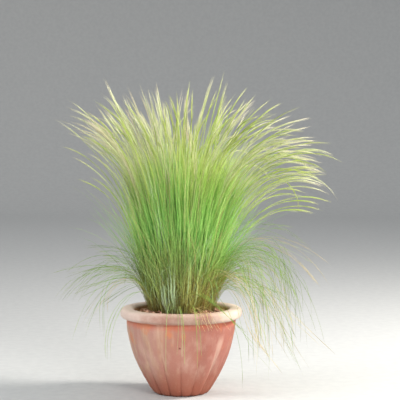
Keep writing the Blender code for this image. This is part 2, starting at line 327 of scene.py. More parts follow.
def plume_material():
    """Flowering stems: green below, with a silky head of straw to cream."""
    n = Nodes("plume_surface")
    along, tone = n.attribute("along"), n.attribute("tone")
    head, light = n.attribute("head"), n.attribute("light")
    stem = n.ramp(along, [(0.00, srgb(160, 134, 78)), (0.15, srgb(146, 156, 68)),
                          (0.45, srgb(150, 194, 76)), (0.75, srgb(200, 214, 112)),
                          (1.00, srgb(228, 220, 164))])
    cream = n.ramp(along, [(0.00, srgb(198, 218, 136)), (0.40, srgb(226, 236, 174)),
                           (0.80, srgb(244, 244, 208)), (1.00, srgb(236, 220, 190))])
    lime = n.ramp(along, [(0.00, srgb(170, 210, 84)), (0.50, srgb(198, 222, 104)),
                          (1.00, srgb(228, 230, 158))])
    pink = n.ramp(along, [(0.00, srgb(224, 216, 160)), (0.50, srgb(244, 234, 200)),
                          (1.00, srgb(232, 206, 184))])
    silk = n.mix(n.remap(tone, 0.42, 0.62), cream, lime)
    silk = n.mix(n.remap(tone, 0.09, 0.06, 0.0, 0.6), silk, pink)
    fine = n.noise(n.coords((1.0, 1.0, 0.2)), 420.0, 1.0)
    silk = n.mix(n.remap(fine, 0.40, 0.7, 0.0, 0.30), silk, srgb(190, 192, 116))
    colour = n.mix(head, stem, silk)
    shade = n.remap(light, 0.0, 0.9, 0.52, 1.0)
    colour = n.mix(1.0, colour, n.ramp(shade, [(0.0, 0.0), (1.0, 1.0)]), "MULTIPLY")
    rough = n.remap(fine, 0.3, 0.7, 0.38, 0.58)
    return n.finish(colour, rough, specular=0.4)


def loose_material():
    """Thin outer leaves: silver-green, some dry."""
    n = Nodes("thin_leaf_surface")
    along, tone, light = n.attribute("along"), n.attribute("tone"), n.attribute("light")
    green = n.ramp(along, [(0.00, srgb(206, 186, 104)), (0.20, srgb(196, 202, 98)),
                           (0.42, srgb(150, 190, 80)), (0.70, srgb(140, 182, 80)),
                           (1.00, srgb(184, 190, 116))])
    silver = n.ramp(along, [(0.00, srgb(196, 186, 126)), (0.20, srgb(194, 208, 136)),
                            (0.45, srgb(168, 200, 122)), (1.00, srgb(200, 210, 154))])
    dry = n.ramp(along, [(0.00, srgb(180, 146, 88)), (0.40, srgb(222, 196, 132)),
                         (1.00, srgb(236, 214, 164))])
    colour = n.mix(n.remap(tone, 0.60, 0.85), green, silver)
    colour = n.mix(n.remap(tone, 0.14, 0.10), colour, dry)
    fine = n.noise(n.coords(), 90.0, 2.0)
    colour = n.mix(n.remap(fine, 0.4, 0.7, 0.0, 0.3), colour, srgb(134, 172, 74))
    shade = n.remap(light, 0.0, 1.0, 0.58, 1.05)
    colour = n.mix(1.0, colour, n.ramp(shade, [(0.0, 0.0), (1.0, 1.0)]), "MULTIPLY")
    return n.finish(colour, n.remap(fine, 0.3, 0.7, 0.40, 0.60), specular=0.35)


def terracotta_material():
    """Weathered terracotta: salmon clay under a thin lime bloom with faint
    streaks running down it, greyer on one side, cleaner under the rim."""
    n = Nodes("terracotta_surface")
    x, y, z = n.axis("X"), n.axis("Y"), n.axis("Z")
    broad = n.noise(n.coords(), 7.0, 2.0, 0.5)
    cloud = n.noise(n.coords((1.0, 1.0, 0.6)), 19.0, 4.0, 0.60)
    streak = n.noise(n.coords((1.0, 1.0, 0.05)), 58.0, 2.0, 0.55)
    fine = n.noise(n.coords(), 420.0, 3.0, 0.7)
    grit = n.noise(n.coords(), 1500.0, 1.0, 0.5)
    clay = n.ramp(broad, [(0.34, srgb(182, 118, 100)), (0.50, srgb(188, 128, 112)),
                          (0.66, srgb(194, 138, 122))])
    # deeper towards the right
    clay = n.mix(n.remap(x, 0.01, 0.11, 0.0, 0.70, True), clay, srgb(168, 104, 92))
    # towards the left the clay is greyer, with a mauve and tan bloom
    side = n.remap(n.math("ADD", x, n.math("MULTIPLY", broad, 0.10)), -0.10, 0.08, 1.0, 0.0, True)
    grey = n.mix(n.remap(streak, 0.42, 0.60), srgb(196, 154, 142), srgb(204, 172, 144))
    clay = n.mix(n.math("MULTIPLY", side, 0.80), clay, grey)
    # lime bloom in clouds and in streaks
    clay = n.mix(n.math("MULTIPLY", n.remap(cloud, 0.50, 0.68), 0.34), clay, srgb(226, 190, 172))
    clay = n.mix(n.remap(streak, 0.56, 0.72, 0.0, 0.28), clay, srgb(226, 194, 172))
    clay = n.mix(n.remap(streak, 0.42, 0.30, 0.0, 0.24), clay, srgb(192, 122, 100))
    # cleaner orange clay in a band under the rim and in a few soft patches
    band = n.math("MULTIPLY", n.remap(z, 0.188, 0.203, 0.0, 1.0, True),
                  n.remap(z, 0.214, 0.208, 0.0, 1.0))
    clay = n.mix(n.math("MULTIPLY", band, n.remap(cloud, 0.62, 0.42, 0.10, 0.60)),
                 clay, srgb(214, 116, 88))
    soft = n.math("MULTIPLY", n.remap(z, 0.10, 0.16, 0.0, 1.0, True),
                  n.remap(cloud, 0.44, 0.34, 0.0, 0.75))
    clay = n.mix(soft, clay, srgb(214, 136, 96))
    # painted highlight: sunlight on the edge of a flute on the right, wide above and narrow below
    turn = n.math("ARCTAN2", y, x)
    flute_highlight = n.math("ADD", turn, n.remap(z, 0.02, 0.17, 0.84, 0.72))
    flute_highlight = n.math("ABSOLUTE", flute_highlight)
    flute_highlight = n.math("ADD", flute_highlight, n.math("MULTIPLY", n.remap(cloud, 0.3, 0.7), 0.05))
    flute_highlight_width = n.remap(z, 0.02, 0.155, 0.05, 0.13)
    flute_highlight = n.math("DIVIDE", flute_highlight, flute_highlight_width)
    flute_highlight = n.math("MULTIPLY", n.remap(flute_highlight, 1.0, 0.45, 0.0, 1.0, True),
                   n.math("MULTIPLY", n.remap(z, 0.02, 0.06, 0.0, 1.0),
                          n.remap(z, 0.185, 0.150, 0.0, 1.0, True)))
    clay = n.mix(n.math("MULTIPLY", flute_highlight, 0.46), clay, srgb(236, 198, 178))
    # the foot
    clay = n.mix(n.remap(z, 0.105, 0.01, 0.0, 0.80, True), clay, srgb(164, 90, 66))
    clay = n.mix(n.remap(z, 0.005, 0.0, 0.0, 0.60), clay, srgb(92, 62, 50))
    # the rim: paler and mottled, with painted sunlight on its top
    rim = n.remap(z, 0.2095, 0.2135, 0.0, 1.0)
    rim_clay_and_sunlight = n.mix(n.remap(cloud, 0.36, 0.62), srgb(172, 126, 110), srgb(188, 156, 140))
    rim_clay_and_sunlight = n.mix(n.remap(broad, 0.56, 0.40, 0.0, 0.45), rim_clay_and_sunlight, srgb(176, 122, 108))
    # painted sunlight: almost white towards the right
    rim_clay_and_sunlight = n.mix(n.remap(n.math("ADD", x, n.math("MULTIPLY", cloud, 0.06)), 0.085, 0.185,
                             0.0, 0.70, True), rim_clay_and_sunlight, srgb(244, 232, 216))
    # and painted light half as much towards the left
    rim_clay_and_sunlight = n.mix(n.remap(n.math("SUBTRACT", n.math("MULTIPLY", cloud, 0.05), x), 0.075, 0.175,
                             0.0, 0.78, True), rim_clay_and_sunlight, srgb(250, 230, 218))
    mottle = n.noise(n.coords(), 110.0, 4.0, 0.70)
    rim_clay_and_sunlight = n.mix(n.remap(mottle, 0.50, 0.70, 0.0, 0.30), rim_clay_and_sunlight, srgb(226, 204, 186))
    clay = n.mix(n.math("MULTIPLY", rim, 0.92), clay, rim_clay_and_sunlight)
    # painted sunlight along the very top of the rim
    clay = n.mix(n.remap(z, 0.232, 0.2395, 0.0, 0.24, True), clay, srgb(236, 214, 200))
    # the wall above the soil inside: ochre, with earth splashed on it
    radius = n.math("POWER", n.math("ADD", n.math("MULTIPLY", x, x),
                                    n.math("MULTIPLY", y, y)), 0.5)
    inner = n.remap(radius, 0.1345, 0.1325, 0.0, 1.0)
    inner = n.math("MULTIPLY", inner, n.remap(z, 0.2365, 0.2300, 0.0, 1.0))
    inner = n.math("MULTIPLY", inner, n.remap(z, 0.2125, 0.2145, 0.0, 1.0))
    ochre = n.mix(n.remap(mottle, 0.44, 0.60), srgb(206, 152, 92), srgb(168, 116, 76))
    clay = n.mix(n.math("MULTIPLY", inner, 0.80), clay, ochre)
    # pits and grains
    clay = n.mix(n.remap(fine, 0.62, 0.74, 0.0, 0.30), clay, srgb(238, 214, 198))
    clay = n.mix(n.remap(fine, 0.36, 0.27, 0.0, 0.40), clay, srgb(160, 100, 82))
    clay = n.mix(n.remap(grit, 0.66, 0.76, 0.0, 0.26), clay, srgb(130, 86, 70))
    # one dark chip at the front
    chip = n.tree.nodes.new("ShaderNodeVectorMath")
    chip.operation = "DISTANCE"
    n.tree.links.new(n.coords(), chip.inputs[0])
    chip.inputs[1].default_value = (-0.002, -0.142, 0.1455)
    spot = n.math("ADD", chip.outputs["Value"], n.math("MULTIPLY", fine, 0.0030))
    clay = n.mix(n.remap(spot, 0.0052, 0.0030, 0.0, 0.85), clay, srgb(96, 48, 36))
    rough = n.remap(cloud, 0.3, 0.7, 0.74, 0.92)
    normal = n.bump(cloud, 0.15, 0.0014)
    normal = n.bump(fine, 0.30, 0.0004, normal)
    normal = n.bump(grit, 0.20, 0.0002, normal)
    return n.finish(clay, rough, normal, specular=0.30)


def soil_material():
    n = Nodes("soil_surface")
    crumb = n.noise(n.coords(), 230.0, 4.0, 0.65)
    cells = n.voronoi(n.coords(), 340.0)
    colour = n.ramp(crumb, [(0.30, srgb(46, 32, 24)), (0.50, srgb(78, 54, 40)),
                            (0.66, srgb(112, 80, 58)), (0.80, srgb(150, 118, 90))])
    colour = n.mix(n.remap(cells, 0.30, 0.05, 0.0, 0.5), colour, srgb(38, 26, 20))
    normal = n.bump(crumb, 0.8, 0.0030)
    normal = n.bump(cells, 0.5, 0.0012, normal)
    return n.finish(colour, n.remap(crumb, 0.3, 0.7, 0.85, 1.0), normal, specular=0.2)


def bark_material():
    """Bark chips and dry litter; the tone of each piece is its own."""
    n = Nodes("bark_surface")
    tone = n.attribute("tone")
    grain = n.noise(n.coords((1.0, 0.35, 1.0)), 520.0, 3.0, 0.6)
    colour = n.ramp(tone, [(0.00, srgb(84, 58, 46)), (0.25, srgb(132, 92, 72)),
                           (0.50, srgb(188, 136, 112)), (0.74, srgb(224, 176, 150)),
                           (0.76, srgb(170, 140, 90)), (1.00, srgb(222, 198, 144))])
    colour = n.mix(n.remap(grain, 0.58, 0.34, 0.0, 0.5), colour, srgb(84, 56, 44))
    normal = n.bump(grain, 0.6, 0.0010)
    return n.finish(colour, n.remap(grain, 0.3, 0.7, 0.80, 0.98), normal, specular=0.25)


LEAF_SURFACE = leaf_material()
PLUME_SURFACE = plume_material()
LOOSE_SURFACE = loose_material()
TERRACOTTA_SURFACE = terracotta_material()
SOIL_SURFACE = soil_material()
BARK_SURFACE = bark_material()

# ------------------------------------------------------------- mesh from arrays


def make_mesh(name, verts, polys, mat, attributes=None, corner_uv=None, smooth=True):
    """A mesh object from arrays. polys is a list of (count, size) index arrays,
    attributes a dict of one number per vertex."""
    mesh = bpy.data.meshes.new(name)
    polys = [p for p in polys if len(p)]
    loops = np.concatenate([p.ravel() for p in polys]).astype(np.int32)
    sizes = np.concatenate([np.full(len(p), p.shape[1]) for p in polys]).astype(np.int32)
    starts = np.concatenate([[0], np.cumsum(sizes)[:-1]]).astype(np.int32)
    mesh.vertices.add(len(verts))
    mesh.vertices.foreach_set("co", np.ascontiguousarray(verts, np.float32).ravel())
    mesh.loops.add(len(loops))
    mesh.loops.foreach_set("vertex_index", loops)
    mesh.polygons.add(len(sizes))
    mesh.polygons.foreach_set("loop_start", starts)
    mesh.update(calc_edges=True)
    if smooth:
        mesh.shade_smooth()
    for key, values in (attributes or {}).items():
        attribute = mesh.attributes.new(key, "FLOAT", "POINT")
        attribute.data.foreach_set("value", np.ascontiguousarray(values, np.float32))
    if corner_uv is not None:
        layer = mesh.uv_layers.new(name="OFBake", do_init=False)
        layer.uv.foreach_set("vector", np.ascontiguousarray(corner_uv, np.float32).ravel())
    mesh.materials.append(mat)
    ob = bpy.data.objects.new(name, mesh)
    bpy.context.scene.collection.objects.link(ob)
    return ob


def unit(v):
    return v / np.maximum(np.linalg.norm(v, axis=-1, keepdims=True), 1e-12)


class Strands:
    """Gathers closed three-sided tapering strands, to be made into one mesh."""

    def __init__(self):
        self.verts, self.quads, self.tris, self.uv_q, self.uv_t = [], [], [], [], []
        self.along, self.tone, self.head, self.light = [], [], [], []
        self.count = 0
        self.strips = 0

    def add(self, points, radius, side, along, tone, head, strip, light, roll=None,
            flat=0.6):
        """points (n, m, 3), radius (n, m - 1) of every ring but the tip, side
        (n, 3) square to the strand's bend, along (n, m), tone and light (n,),
        head (n, m), strip (n,) the row of the colour map that a strand reads."""
        n, m, _ = points.shape
        if n == 0:
            return
        tangent = np.empty_like(points)
        tangent[:, 1:-1] = points[:, 2:] - points[:, :-2]
        tangent[:, 0] = points[:, 1] - points[:, 0]
        tangent[:, -1] = points[:, -1] - points[:, -2]
        tangent = unit(tangent)
        a = side[:, None, :] - (side[:, None, :] * tangent).sum(-1, keepdims=True) * tangent
        a = unit(a)
        b = np.cross(tangent, a)
        roll = rng.uniform(0, 2 * math.pi, n) if roll is None else roll
        rings = []
        for k in range(3):
            t = roll[:, None, None] + 2 * math.pi * k / 3
            rings.append(points[:, :-1] + radius[:, :, None]
                         * (np.cos(t) * a[:, :-1] + flat * np.sin(t) * b[:, :-1]))
        rings = np.stack(rings, 2)                       # n, m-1, 3, 3
        body = rings.reshape(n, (m - 1) * 3, 3)
        verts = np.concatenate([body, points[:, -1:]], 1)
        per = (m - 1) * 3 + 1
        base = self.count + per * np.arange(n)
        quads, tris, uq, ut = [], [], [], []
        low, high = 0.12, 0.88
        us = np.linspace(0.004, 0.996, m)
        for i in range(m - 2):
            for k in range(3):
                j = (k + 1) % 3
                quads.append(np.stack([base + i * 3 + k, base + i * 3 + j,
                                       base + (i + 1) * 3 + j, base + (i + 1) * 3 + k], 1))
                uq.append(np.array([(us[i], low), (us[i], high),
                                    (us[i + 1], high), (us[i + 1], low)]))
        last = m - 2
        for k in range(3):
            j = (k + 1) % 3
            tris.append(np.stack([base + last * 3 + k, base + last * 3 + j,
                                  base + per - 1], 1))
            ut.append(np.array([(us[last], low), (us[last], high), (us[-1], 0.5)]))
        tris.append(np.stack([base + 2, base + 1, base], 1))
        ut.append(np.array([(0.0005, low), (0.0039, 0.5), (0.0005, high)]))
        self.verts.append(verts.reshape(-1, 3))
        self.quads.append(np.stack(quads, 1).reshape(-1, 4))
        self.tris.append(np.stack(tris, 1).reshape(-1, 3))
        for store, shapes in ((self.uv_q, uq), (self.uv_t, ut)):
            s = np.stack(shapes)[None].repeat(n, 0)      # n, faces, corners, 2
            s = s.copy()
            s[..., 1] += strip[:, None, None]
            store.append(s.reshape(-1, 2))
        self.along.append(np.concatenate([along[:, :-1].repeat(3, 1), along[:, -1:]], 1).ravel())
        self.head.append(np.concatenate([head[:, :-1].repeat(3, 1), head[:, -1:]], 1).ravel())
        self.tone.append(tone.repeat(per))
        self.light.append(light.repeat(per))
        self.count += n * per
        self.strips = max(self.strips, int(strip.max()) + 1)

    def build(self, name, mat):
        quads = np.concatenate(self.quads)
        tris = np.concatenate(self.tris)
        uv = np.concatenate(self.uv_q + self.uv_t)
        uv[:, 1] /= max(self.strips, 1)
        return make_mesh(name, np.concatenate(self.verts), [quads, tris], mat,
                         {"along": np.concatenate(self.along),
                          "tone": np.concatenate(self.tone),
                          "light": np.concatenate(self.light),
                          "head": np.concatenate(self.head)}, uv)


# ---------------------------------------------------------------- blade curves
FINE = 72


def blade_paths(base, plane, length, lean, bend, power, stations, knee=None,
                wave=None, extend=1.0):
    """Curves of many blades at once. base (n, 3); plane is the azimuth that a
    blade leans towards; the lean from the vertical is lean + bend * share of
    length ** power, in degrees. Returns points (n, stations, 3) and the share
    of the length at each. extend over 1 carries the curve past its end."""
    n = len(length)
    u = np.linspace(0.0, extend, FINE + 1)[None, :]
    share = u ** power[:, None]
    if knee is not None:
        k = knee[:, None] ** power[:, None]
        share = share * (1.0 + k) / (share + k)
    angle = np.radians(lean[:, None] + bend[:, None] * share)
    step = (length * extend / FINE)[:, None]
    sin = 0.5 * (np.sin(angle[:, 1:]) + np.sin(angle[:, :-1])) * step
    cos = 0.5 * (np.cos(angle[:, 1:]) + np.cos(angle[:, :-1])) * step
    zero = np.zeros((n, 1))
    r = np.concatenate([zero, np.cumsum(sin, 1)], 1)
    z = np.concatenate([zero, np.cumsum(cos, 1)], 1)
    out = np.stack([np.cos(plane), np.sin(plane), np.zeros(n)], 1)
    side = np.stack([-np.sin(plane), np.cos(plane), np.zeros(n)], 1)
    points = base[:, None, :] + r[:, :, None] * out[:, None, :]
    points[:, :, 2] += z
    if wave is not None:
        amount, turns, phase = wave
        w = amount[:, None] * u ** 1.3 * (np.sin(2 * math.pi * turns[:, None] * u + phase[:, None])
                                          - np.sin(phase[:, None]))
        points += w[:, :, None] * side[:, None, :]
        w2 = 0.6 * amount[:, None] * u ** 1.3 * (np.sin(2 * math.pi * 0.8 * turns[:, None] * u
                                                        + 1.7 * phase[:, None])
                                                 - np.sin(1.7 * phase[:, None]))
        points += w2[:, :, None] * out[:, None, :]
    return points, side, u[0]


def pick(points, shares, at):
    """Points at the given shares of the length, by linear reading."""
    where = np.clip(at, shares[0], shares[-1])
    pos = (where - shares[0]) / (shares[-1] - shares[0]) * (len(shares) - 1)
    i = np.minimum(pos.astype(int), len(shares) - 2)
    f = (pos - i)[..., None]
    rows = np.arange(len(points))
    if at.ndim == 1:
        return points[:, i] * (1 - f)[None] + points[:, i + 1] * f[None]
    return points[rows[:, None], i] * (1 - f) + points[rows[:, None], i + 1] * f


def ring_value(base_r, column):
    radii = [row[1] for row in RINGS]
    return np.interp(base_r, radii, [row[column] for row in RINGS])


# The guides are the construction's own sheaves.
guides = []
leaf_count = plume_count = 0
for row, (count, base_r, first, lean, bend, power, stem, leaf) in enumerate(RINGS):
    for k in range(count):
        azimuth = first + 360.0 * k / count
        right = math.cos(math.radians(azimuth))
        flowering = (k + row) % 2 == 1
        length = (stem if flowering else leaf) * (1.0 + 0.035 * right * (row / 4.0))
        bent = bend * (1.0 + (ARCH_RIGHT if right > 0 else ARCH_LEFT) * right)
        if not flowering:
            bent *= (length / stem) ** power
        if flowering:
            plume_count += 1
            name = f"flower_plume_{plume_count:02d}"
        else:
            leaf_count += 1
            name = f"leaf_tuft_{leaf_count:02d}"
        guides.append((name, base_r, azimuth, length, lean, bent, power))


def guide_points(kind, at):
    """Names and points, at these lengths from the crown, of the guides of a kind."""
    names = [g for g in guides if g[0].startswith(kind)]
    az = np.radians([g[2] for g in names])
    base_r = np.array([g[1] for g in names])
    base = np.stack([base_r * np.cos(az), base_r * np.sin(az),
                     np.full(len(names), CROWN_Z)], 1)
    length = np.array([g[3] for g in names])
    p, _, u = blade_paths(base, az, length, np.array([g[4] for g in names], float),
                          np.array([g[5] for g in names], float),
                          np.array([g[6] for g in names], float), FINE)
    shares = np.minimum(at[None, :] / length[:, None], 1.0)
    return [g[0] for g in names], pick(p, u, shares)


def nearest_guide(kind, points, shares, length):
    """The guide that each strand stays nearest to over its length."""
    at = np.array([0.02, 0.10, 0.18, 0.26, 0.34, 0.42])
    names, there = guide_points(kind, at)
    here = pick(points, shares, np.minimum(at[None, :] / length[:, None], shares[-1]))
    d = np.linalg.norm(here[:, None] - there[None], axis=3).mean(2)
    return names, d.argmin(1)


def inside_box(points, slack=0.016):
    """True for strands that stay inside the construction's own box."""
    low = np.array(CAD_LOW) - slack
    high = np.array(CAD_HIGH) + slack
    high[2] += 0.008
    low[2] = 0.004
    return ((points > low) & (points < high)).all((1, 2))


def pot_clear(points):
    """Lifts points out of the pot's rim and wall."""
    r = np.hypot(points[..., 0], points[..., 1])
    z = points[..., 2]
    mid = 0.5 * (RIM_OUTER_R + RIM_MOUTH_R)
    over = (r > RIM_MOUTH_R - 0.003) & (r <= mid + 0.004) & (z < POT_HEIGHT + 0.0015)
    over |= (r > mid) & (r < RIM_OUTER_R - 0.004) & (z > RIM_UNDERSIDE_Z) & (z < POT_HEIGHT + 0.0015)
    z = np.where(over, POT_HEIGHT + 0.0015, z)
    beside = (r > mid + 0.004) & (z < POT_HEIGHT + 0.0015)
    wall = np.interp(z, [p[0] for p in OUTER], [p[1] for p in OUTER])
    wall = np.where(z > RIM_UNDERSIDE_Z - 0.006, RIM_OUTER_R, wall) + 0.002
    new_r = np.where(beside & (r < wall), wall, r)
    scale = new_r / np.maximum(r, 1e-9)
    out = points.copy()
    out[..., 0] *= scale
    out[..., 1] *= scale
    out[..., 2] = z
    return out


# ----------------------------------------------------------------- leaf tufts
pieces = {}


def strands_of(name):
    return pieces.setdefault(name, Strands())


def taper(m, foot, full, tip):
    """Half-width along a blade's rings (the tip itself is a point)."""
    t = np.linspace(0.0, 1.0, m)[:-1]
    return np.interp(t, [0.0, 0.25, 0.6, 1.0], [foot, full, 0.8 * full, tip])


def crown_points(n, power=0.5, radius=0.0805, low=0.0):
    rho = low + (1.0 - low) * rng.uniform(0, 1, n) ** power
    r = radius * rho
    a = rng.uniform(0, 2 * math.pi, n)
    return r, a, np.stack([r * np.cos(a), r * np.sin(a),
                           np.full(n, CROWN_Z + 0.0002)], 1)


def spread(n, base_r, azimuth, plane_jitter, lean_jitter, bend_jitter):
    """Plane, lean, bend and power of blades that grow from these places."""
    right = np.cos(azimuth)
    inner = 1.0 - np.clip(base_r / CLUMP_R, 0, 1)
    plane = azimuth + rng.normal(0, 1, n) * plane_jitter * (0.35 + 1.3 * inner)
    lean = ring_value(base_r, 3) + rng.normal(0, lean_jitter, n)
    bend = ring_value(base_r, 4) * (1.0 + np.where(right > 0, ARCH_RIGHT, ARCH_LEFT) * right)
    bend = bend * np.exp(rng.normal(0, bend_jitter, n))
    bend += rng.normal(0, 4.0, n)
    power = ring_value(base_r, 5) * rng.uniform(0.82, 1.22, n)
    return plane, lean, bend, power


def wave(n, amount):
    return (rng.normal(0, amount, n), rng.uniform(0.4, 1.3, n),
            rng.uniform(0, 2 * math.pi, n))


def place_leaves(points, side, u, length, tone, light, width, stations, kind="leaf_tuft"):
    keep = inside_box(points)
    points, side, length = points[keep], side[keep], length[keep]
    tone, light = tone[keep], light[keep]
    n = len(points)
    names, which = nearest_guide(kind, points, u, length)
    at = np.linspace(0.0, 1.0, stations)
    p = pick(points, u, at)
    thick = rng.uniform(0.8, 1.25, n)
    ring = taper(stations, *width)
    absolute = np.clip(length[:, None] * at[None, :] / 0.56, 0, 1)
    along = 0.40 * at[None, :] + 0.60 * absolute
    for i, name in enumerate(names):
        mine = np.flatnonzero(which == i)
        m = len(mine)
        if m:
            s = strands_of(name)
            s.add(p[mine], thick[mine, None] * ring[None, :], side[mine], along[mine],
                  tone[mine], np.zeros((m, stations)), s.strips + np.arange(m), light[mine])


def regional_tone(x, y):
    """The tone of a wisp by where it grows: silvery wisps stand at the front
    left of the clump, pale straw beside them, dry ones at its rim."""
    n = len(x)
    t = rng.uniform(0.17, 0.89, n)
    chance = rng.uniform(0, 1, n)
    r = np.hypot(x, y)
    silver = (y < -0.02) & (x > -0.052) & (x < -0.012) & (r > 0.07) & (chance < 0.20)
    silver |= chance < 0.012
    straw = (y < -0.02) & (x > 0.002) & (x < 0.034) & (r > 0.07) & (chance < 0.16)
    dry = (chance > 0.975) | ((r > 0.078) & (chance > 0.91))
    t[dry] = rng.uniform(0.0, 0.11, dry.sum())
    t[silver] = rng.uniform(0.94, 1.0, silver.sum())
    t[straw] = rng.uniform(0.02, 0.10, straw.sum())
    return t


def add_wisps(count, per, length_range, stations, width, jitter, amount, low=0.0,
              tight=1.0):
    """Leaves that stand together in wisps: those of one wisp follow nearly the
    same curve and share a tone."""
    base_r, azimuth, base = crown_points(count, 0.5, low=low)
    plane, lean, bend, power = spread(count, base_r, azimuth, *jitter)
    length = rng.triangular(*length_range, count)
    w = wave(count, amount)
    tone = regional_tone(base[:, 0], base[:, 1])
    light = np.where(rng.uniform(0, 1, count) < 0.30, rng.uniform(0.82, 1.0, count),
                     rng.uniform(0.0, 0.74, count))
    k = np.arange(count).repeat(per)
    n = len(k)
    base = base[k] + np.concatenate([rng.normal(0, 0.0022 * tight, (n, 2)), np.zeros((n, 1))], 1)
    r = np.hypot(base[:, 0], base[:, 1])
    base[:, :2] *= np.minimum(1.0, 0.0830 / r)[:, None]
    inner = 1.0 - np.clip(base_r[k] / CLUMP_R, 0, 1)
    plane = plane[k] + rng.normal(0, 0.055 * tight, n) * (0.5 + 2.0 * inner)
    lean = lean[k] + rng.normal(0, 0.7 * tight, n)
    bend = bend[k] * np.exp(rng.normal(0, 0.07 * tight, n))
    length = length[k] * rng.uniform(0.74, 1.04, n)
    power = power[k]
    full = ring_value(base_r[k], 6)
    bend = bend * (length / full) ** power
    w = (w[0][k] * rng.uniform(0.8, 1.2, n), w[1][k], w[2][k] + rng.normal(0, 0.15, n))
    points, side, u = blade_paths(base, plane, length, lean, bend, power, FINE, wave=w)
    own = tone[k]
    usual = (own > 0.16) & (own < 0.90)
    tone = np.where(usual, np.clip(own + rng.normal(0, 0.12, n), 0.17, 0.89), own)
    light = np.clip(light[k] + rng.normal(0, 0.10, n), 0, 1)
    place_leaves(points, side, u, length, tone, light, width, stations)


# the body of upright leaves: narrow wisps, a few in full light
add_wisps(1500, 3, (0.34, 0.49, 0.575), 8, (0.00054, 0.00062, 0.00026),
          (0.42, 2.8, 0.18), 0.006, tight=0.60)
add_wisps(1250, 1, (0.36, 0.50, 0.575), 8, (0.00062, 0.00074, 0.00030),
          (0.46, 3.2, 0.20), 0.007, tight=0.60)
# wisps that stand off the clump's sides, each bent its own way
add_wisps(130, 3, (0.24, 0.36, 0.52), 8, (0.00050, 0.00056, 0.00024),
          (0.70, 6.0, 0.40), 0.012, low=0.72, tight=1.3)


def add_stray(n):
    """Single leaves that lean out of the clump's sides and cross one another."""
    r, a, base = crown_points(n, 0.5, low=0.74)
    plane = a + rng.normal(0, 0.55, n)
    lean = 9.0 + rng.triangular(-4.0, 4.0, 24.0, n)
    bend = rng.uniform(4.0, 62.0, n)
    length = rng.triangular(0.12, 0.30, 0.46, n)
    points, side, u = blade_paths(base, plane, length, lean, bend, rng.uniform(1.5, 2.8, n),
                                  FINE, wave=wave(n, 0.009))
    points = pot_clear(points)
    tone = rng.uniform(0.17, 0.89, n)
    dry = rng.uniform(0, 1, n) < 0.10
    tone[dry] = rng.uniform(0.0, 0.1, dry.sum())
    place_leaves(points, side, u, length, tone, rng.uniform(0.35, 1.0, n),
                 (0.00056, 0.00062, 0.00026), 9)


add_stray(520)


def add_draped(n, low, high, turn_low, turn_high, width, tones, lights, amount,
               proud=0.010, place=(-math.pi, math.pi)):
    """Fine untidy hairs that rise over the clump's outside and cross the
    other leaves there, some to the left and some to the right."""
    zero = np.zeros(1)
    edge, _, _ = blade_paths(np.array([[0.0815, 0.0, CROWN_Z]]), zero, np.array([0.50]),
                             np.array([9.0]), np.array([54.0]), np.array([2.3]), FINE)
    edge_z, edge_r = edge[0, :, 2], edge[0, :, 0]
    start = rng.uniform(*place, n)
    turn = rng.uniform(turn_low, turn_high, n) * rng.choice([-1.0, 1.0], n)
    rise = rng.uniform(low, high, n)
    u = np.linspace(0, 1, FINE + 1)[None, :]
    w, turns, phase = wave(n, amount)
    a = (start[:, None] + turn[:, None] * u ** rng.uniform(0.9, 1.9, (n, 1))
         + w[:, None] * 6.0 * u * np.sin(2 * math.pi * turns[:, None] * u + phase[:, None]))
    z = CROWN_Z + 0.0002 + rise[:, None] * (u - 0.18 * rng.uniform(0, 1, (n, 1)) * u ** 3)
    r = np.interp(z, edge_z, edge_r)
    first = rng.uniform(0.066, 0.0835, n)[:, None]
    r = (first + (r - first) * np.clip(u * 3.0, 0, 1)
         + rng.uniform(-0.2, 1.0, n)[:, None] * proud * np.clip(u * 2.5, 0, 1)
         + w[:, None] * 0.8 * u * np.sin(2 * math.pi * 1.4 * turns[:, None] * u))
    points = np.stack([r * np.cos(a), r * np.sin(a), z + 0 * r], 2)
    out = points[:, -1] - points[:, 0]
    side = unit(np.stack([-out[:, 1], out[:, 0], np.zeros(n)], 1) + 1e-9)
    length = np.linalg.norm(np.diff(points, axis=1), axis=2).sum(1)
    place_leaves(points, side, u[0], length, tones(n), lights(n), width, 9)


def mixed_tone(n):
    kind = rng.uniform(0, 1, n)
    return np.where(kind < 0.40, rng.uniform(0.0, 0.10, n),
                    np.where(kind < 0.62, rng.uniform(0.94, 1.0, n), rng.uniform(0.2, 0.8, n)))


add_draped(380, 0.07, 0.25, 0.15, 1.00, (0.00062, 0.00070, 0.00030), mixed_tone,
           lambda n: rng.uniform(0.60, 1.0, n), 0.012, proud=0.015)
# single bright leaves that lie on the outside of the clump
add_draped(260, 0.16, 0.33, 0.0, 0.22, (0.00056, 0.00066, 0.00026),
           lambda n: rng.uniform(0.3, 0.89, n), lambda n: rng.uniform(0.8, 1.0, n), 0.004,
           proud=0.009)
# dead sheaths and short old leaves around the crown
add_draped(420, 0.02, 0.10, 0.0, 0.40, (0.00076, 0.00062, 0.00022),
           lambda n: rng.uniform(0.0, 0.10, n), lambda n: rng.uniform(0.3, 1.0, n), 0.004,
           proud=0.005)
# silvery ones stand together at the front, left of the middle, and straw-coloured
# ones right of it
add_draped(46, 0.09, 0.18, 0.0, 0.08, (0.00082, 0.00078, 0.00030),
           lambda n: rng.uniform(0.94, 1.0, n), lambda n: rng.uniform(0.6, 1.0, n), 0.003,
           proud=0.022, place=(-2.08, -1.68))
add_draped(30, 0.09, 0.20, 0.0, 0.14, (0.00080, 0.00076, 0.00030),
           lambda n: rng.uniform(0.0, 0.10, n), lambda n: rng.uniform(0.85, 1.0, n), 0.004,
           proud=0.022, place=(-1.52, -1.22))
# a few long pale ones stand alone
for where in (-2.27, -1.41, -1.12):
    add_draped(6, 0.15, 0.21, 0.0, 0.06, (0.00084, 0.00080, 0.00030),
               lambda n: rng.choice([0.02, 0.97], n), lambda n: rng.uniform(0.9, 1.0, n),
               0.003, proud=0.024, place=(where - 0.04, where + 0.04))

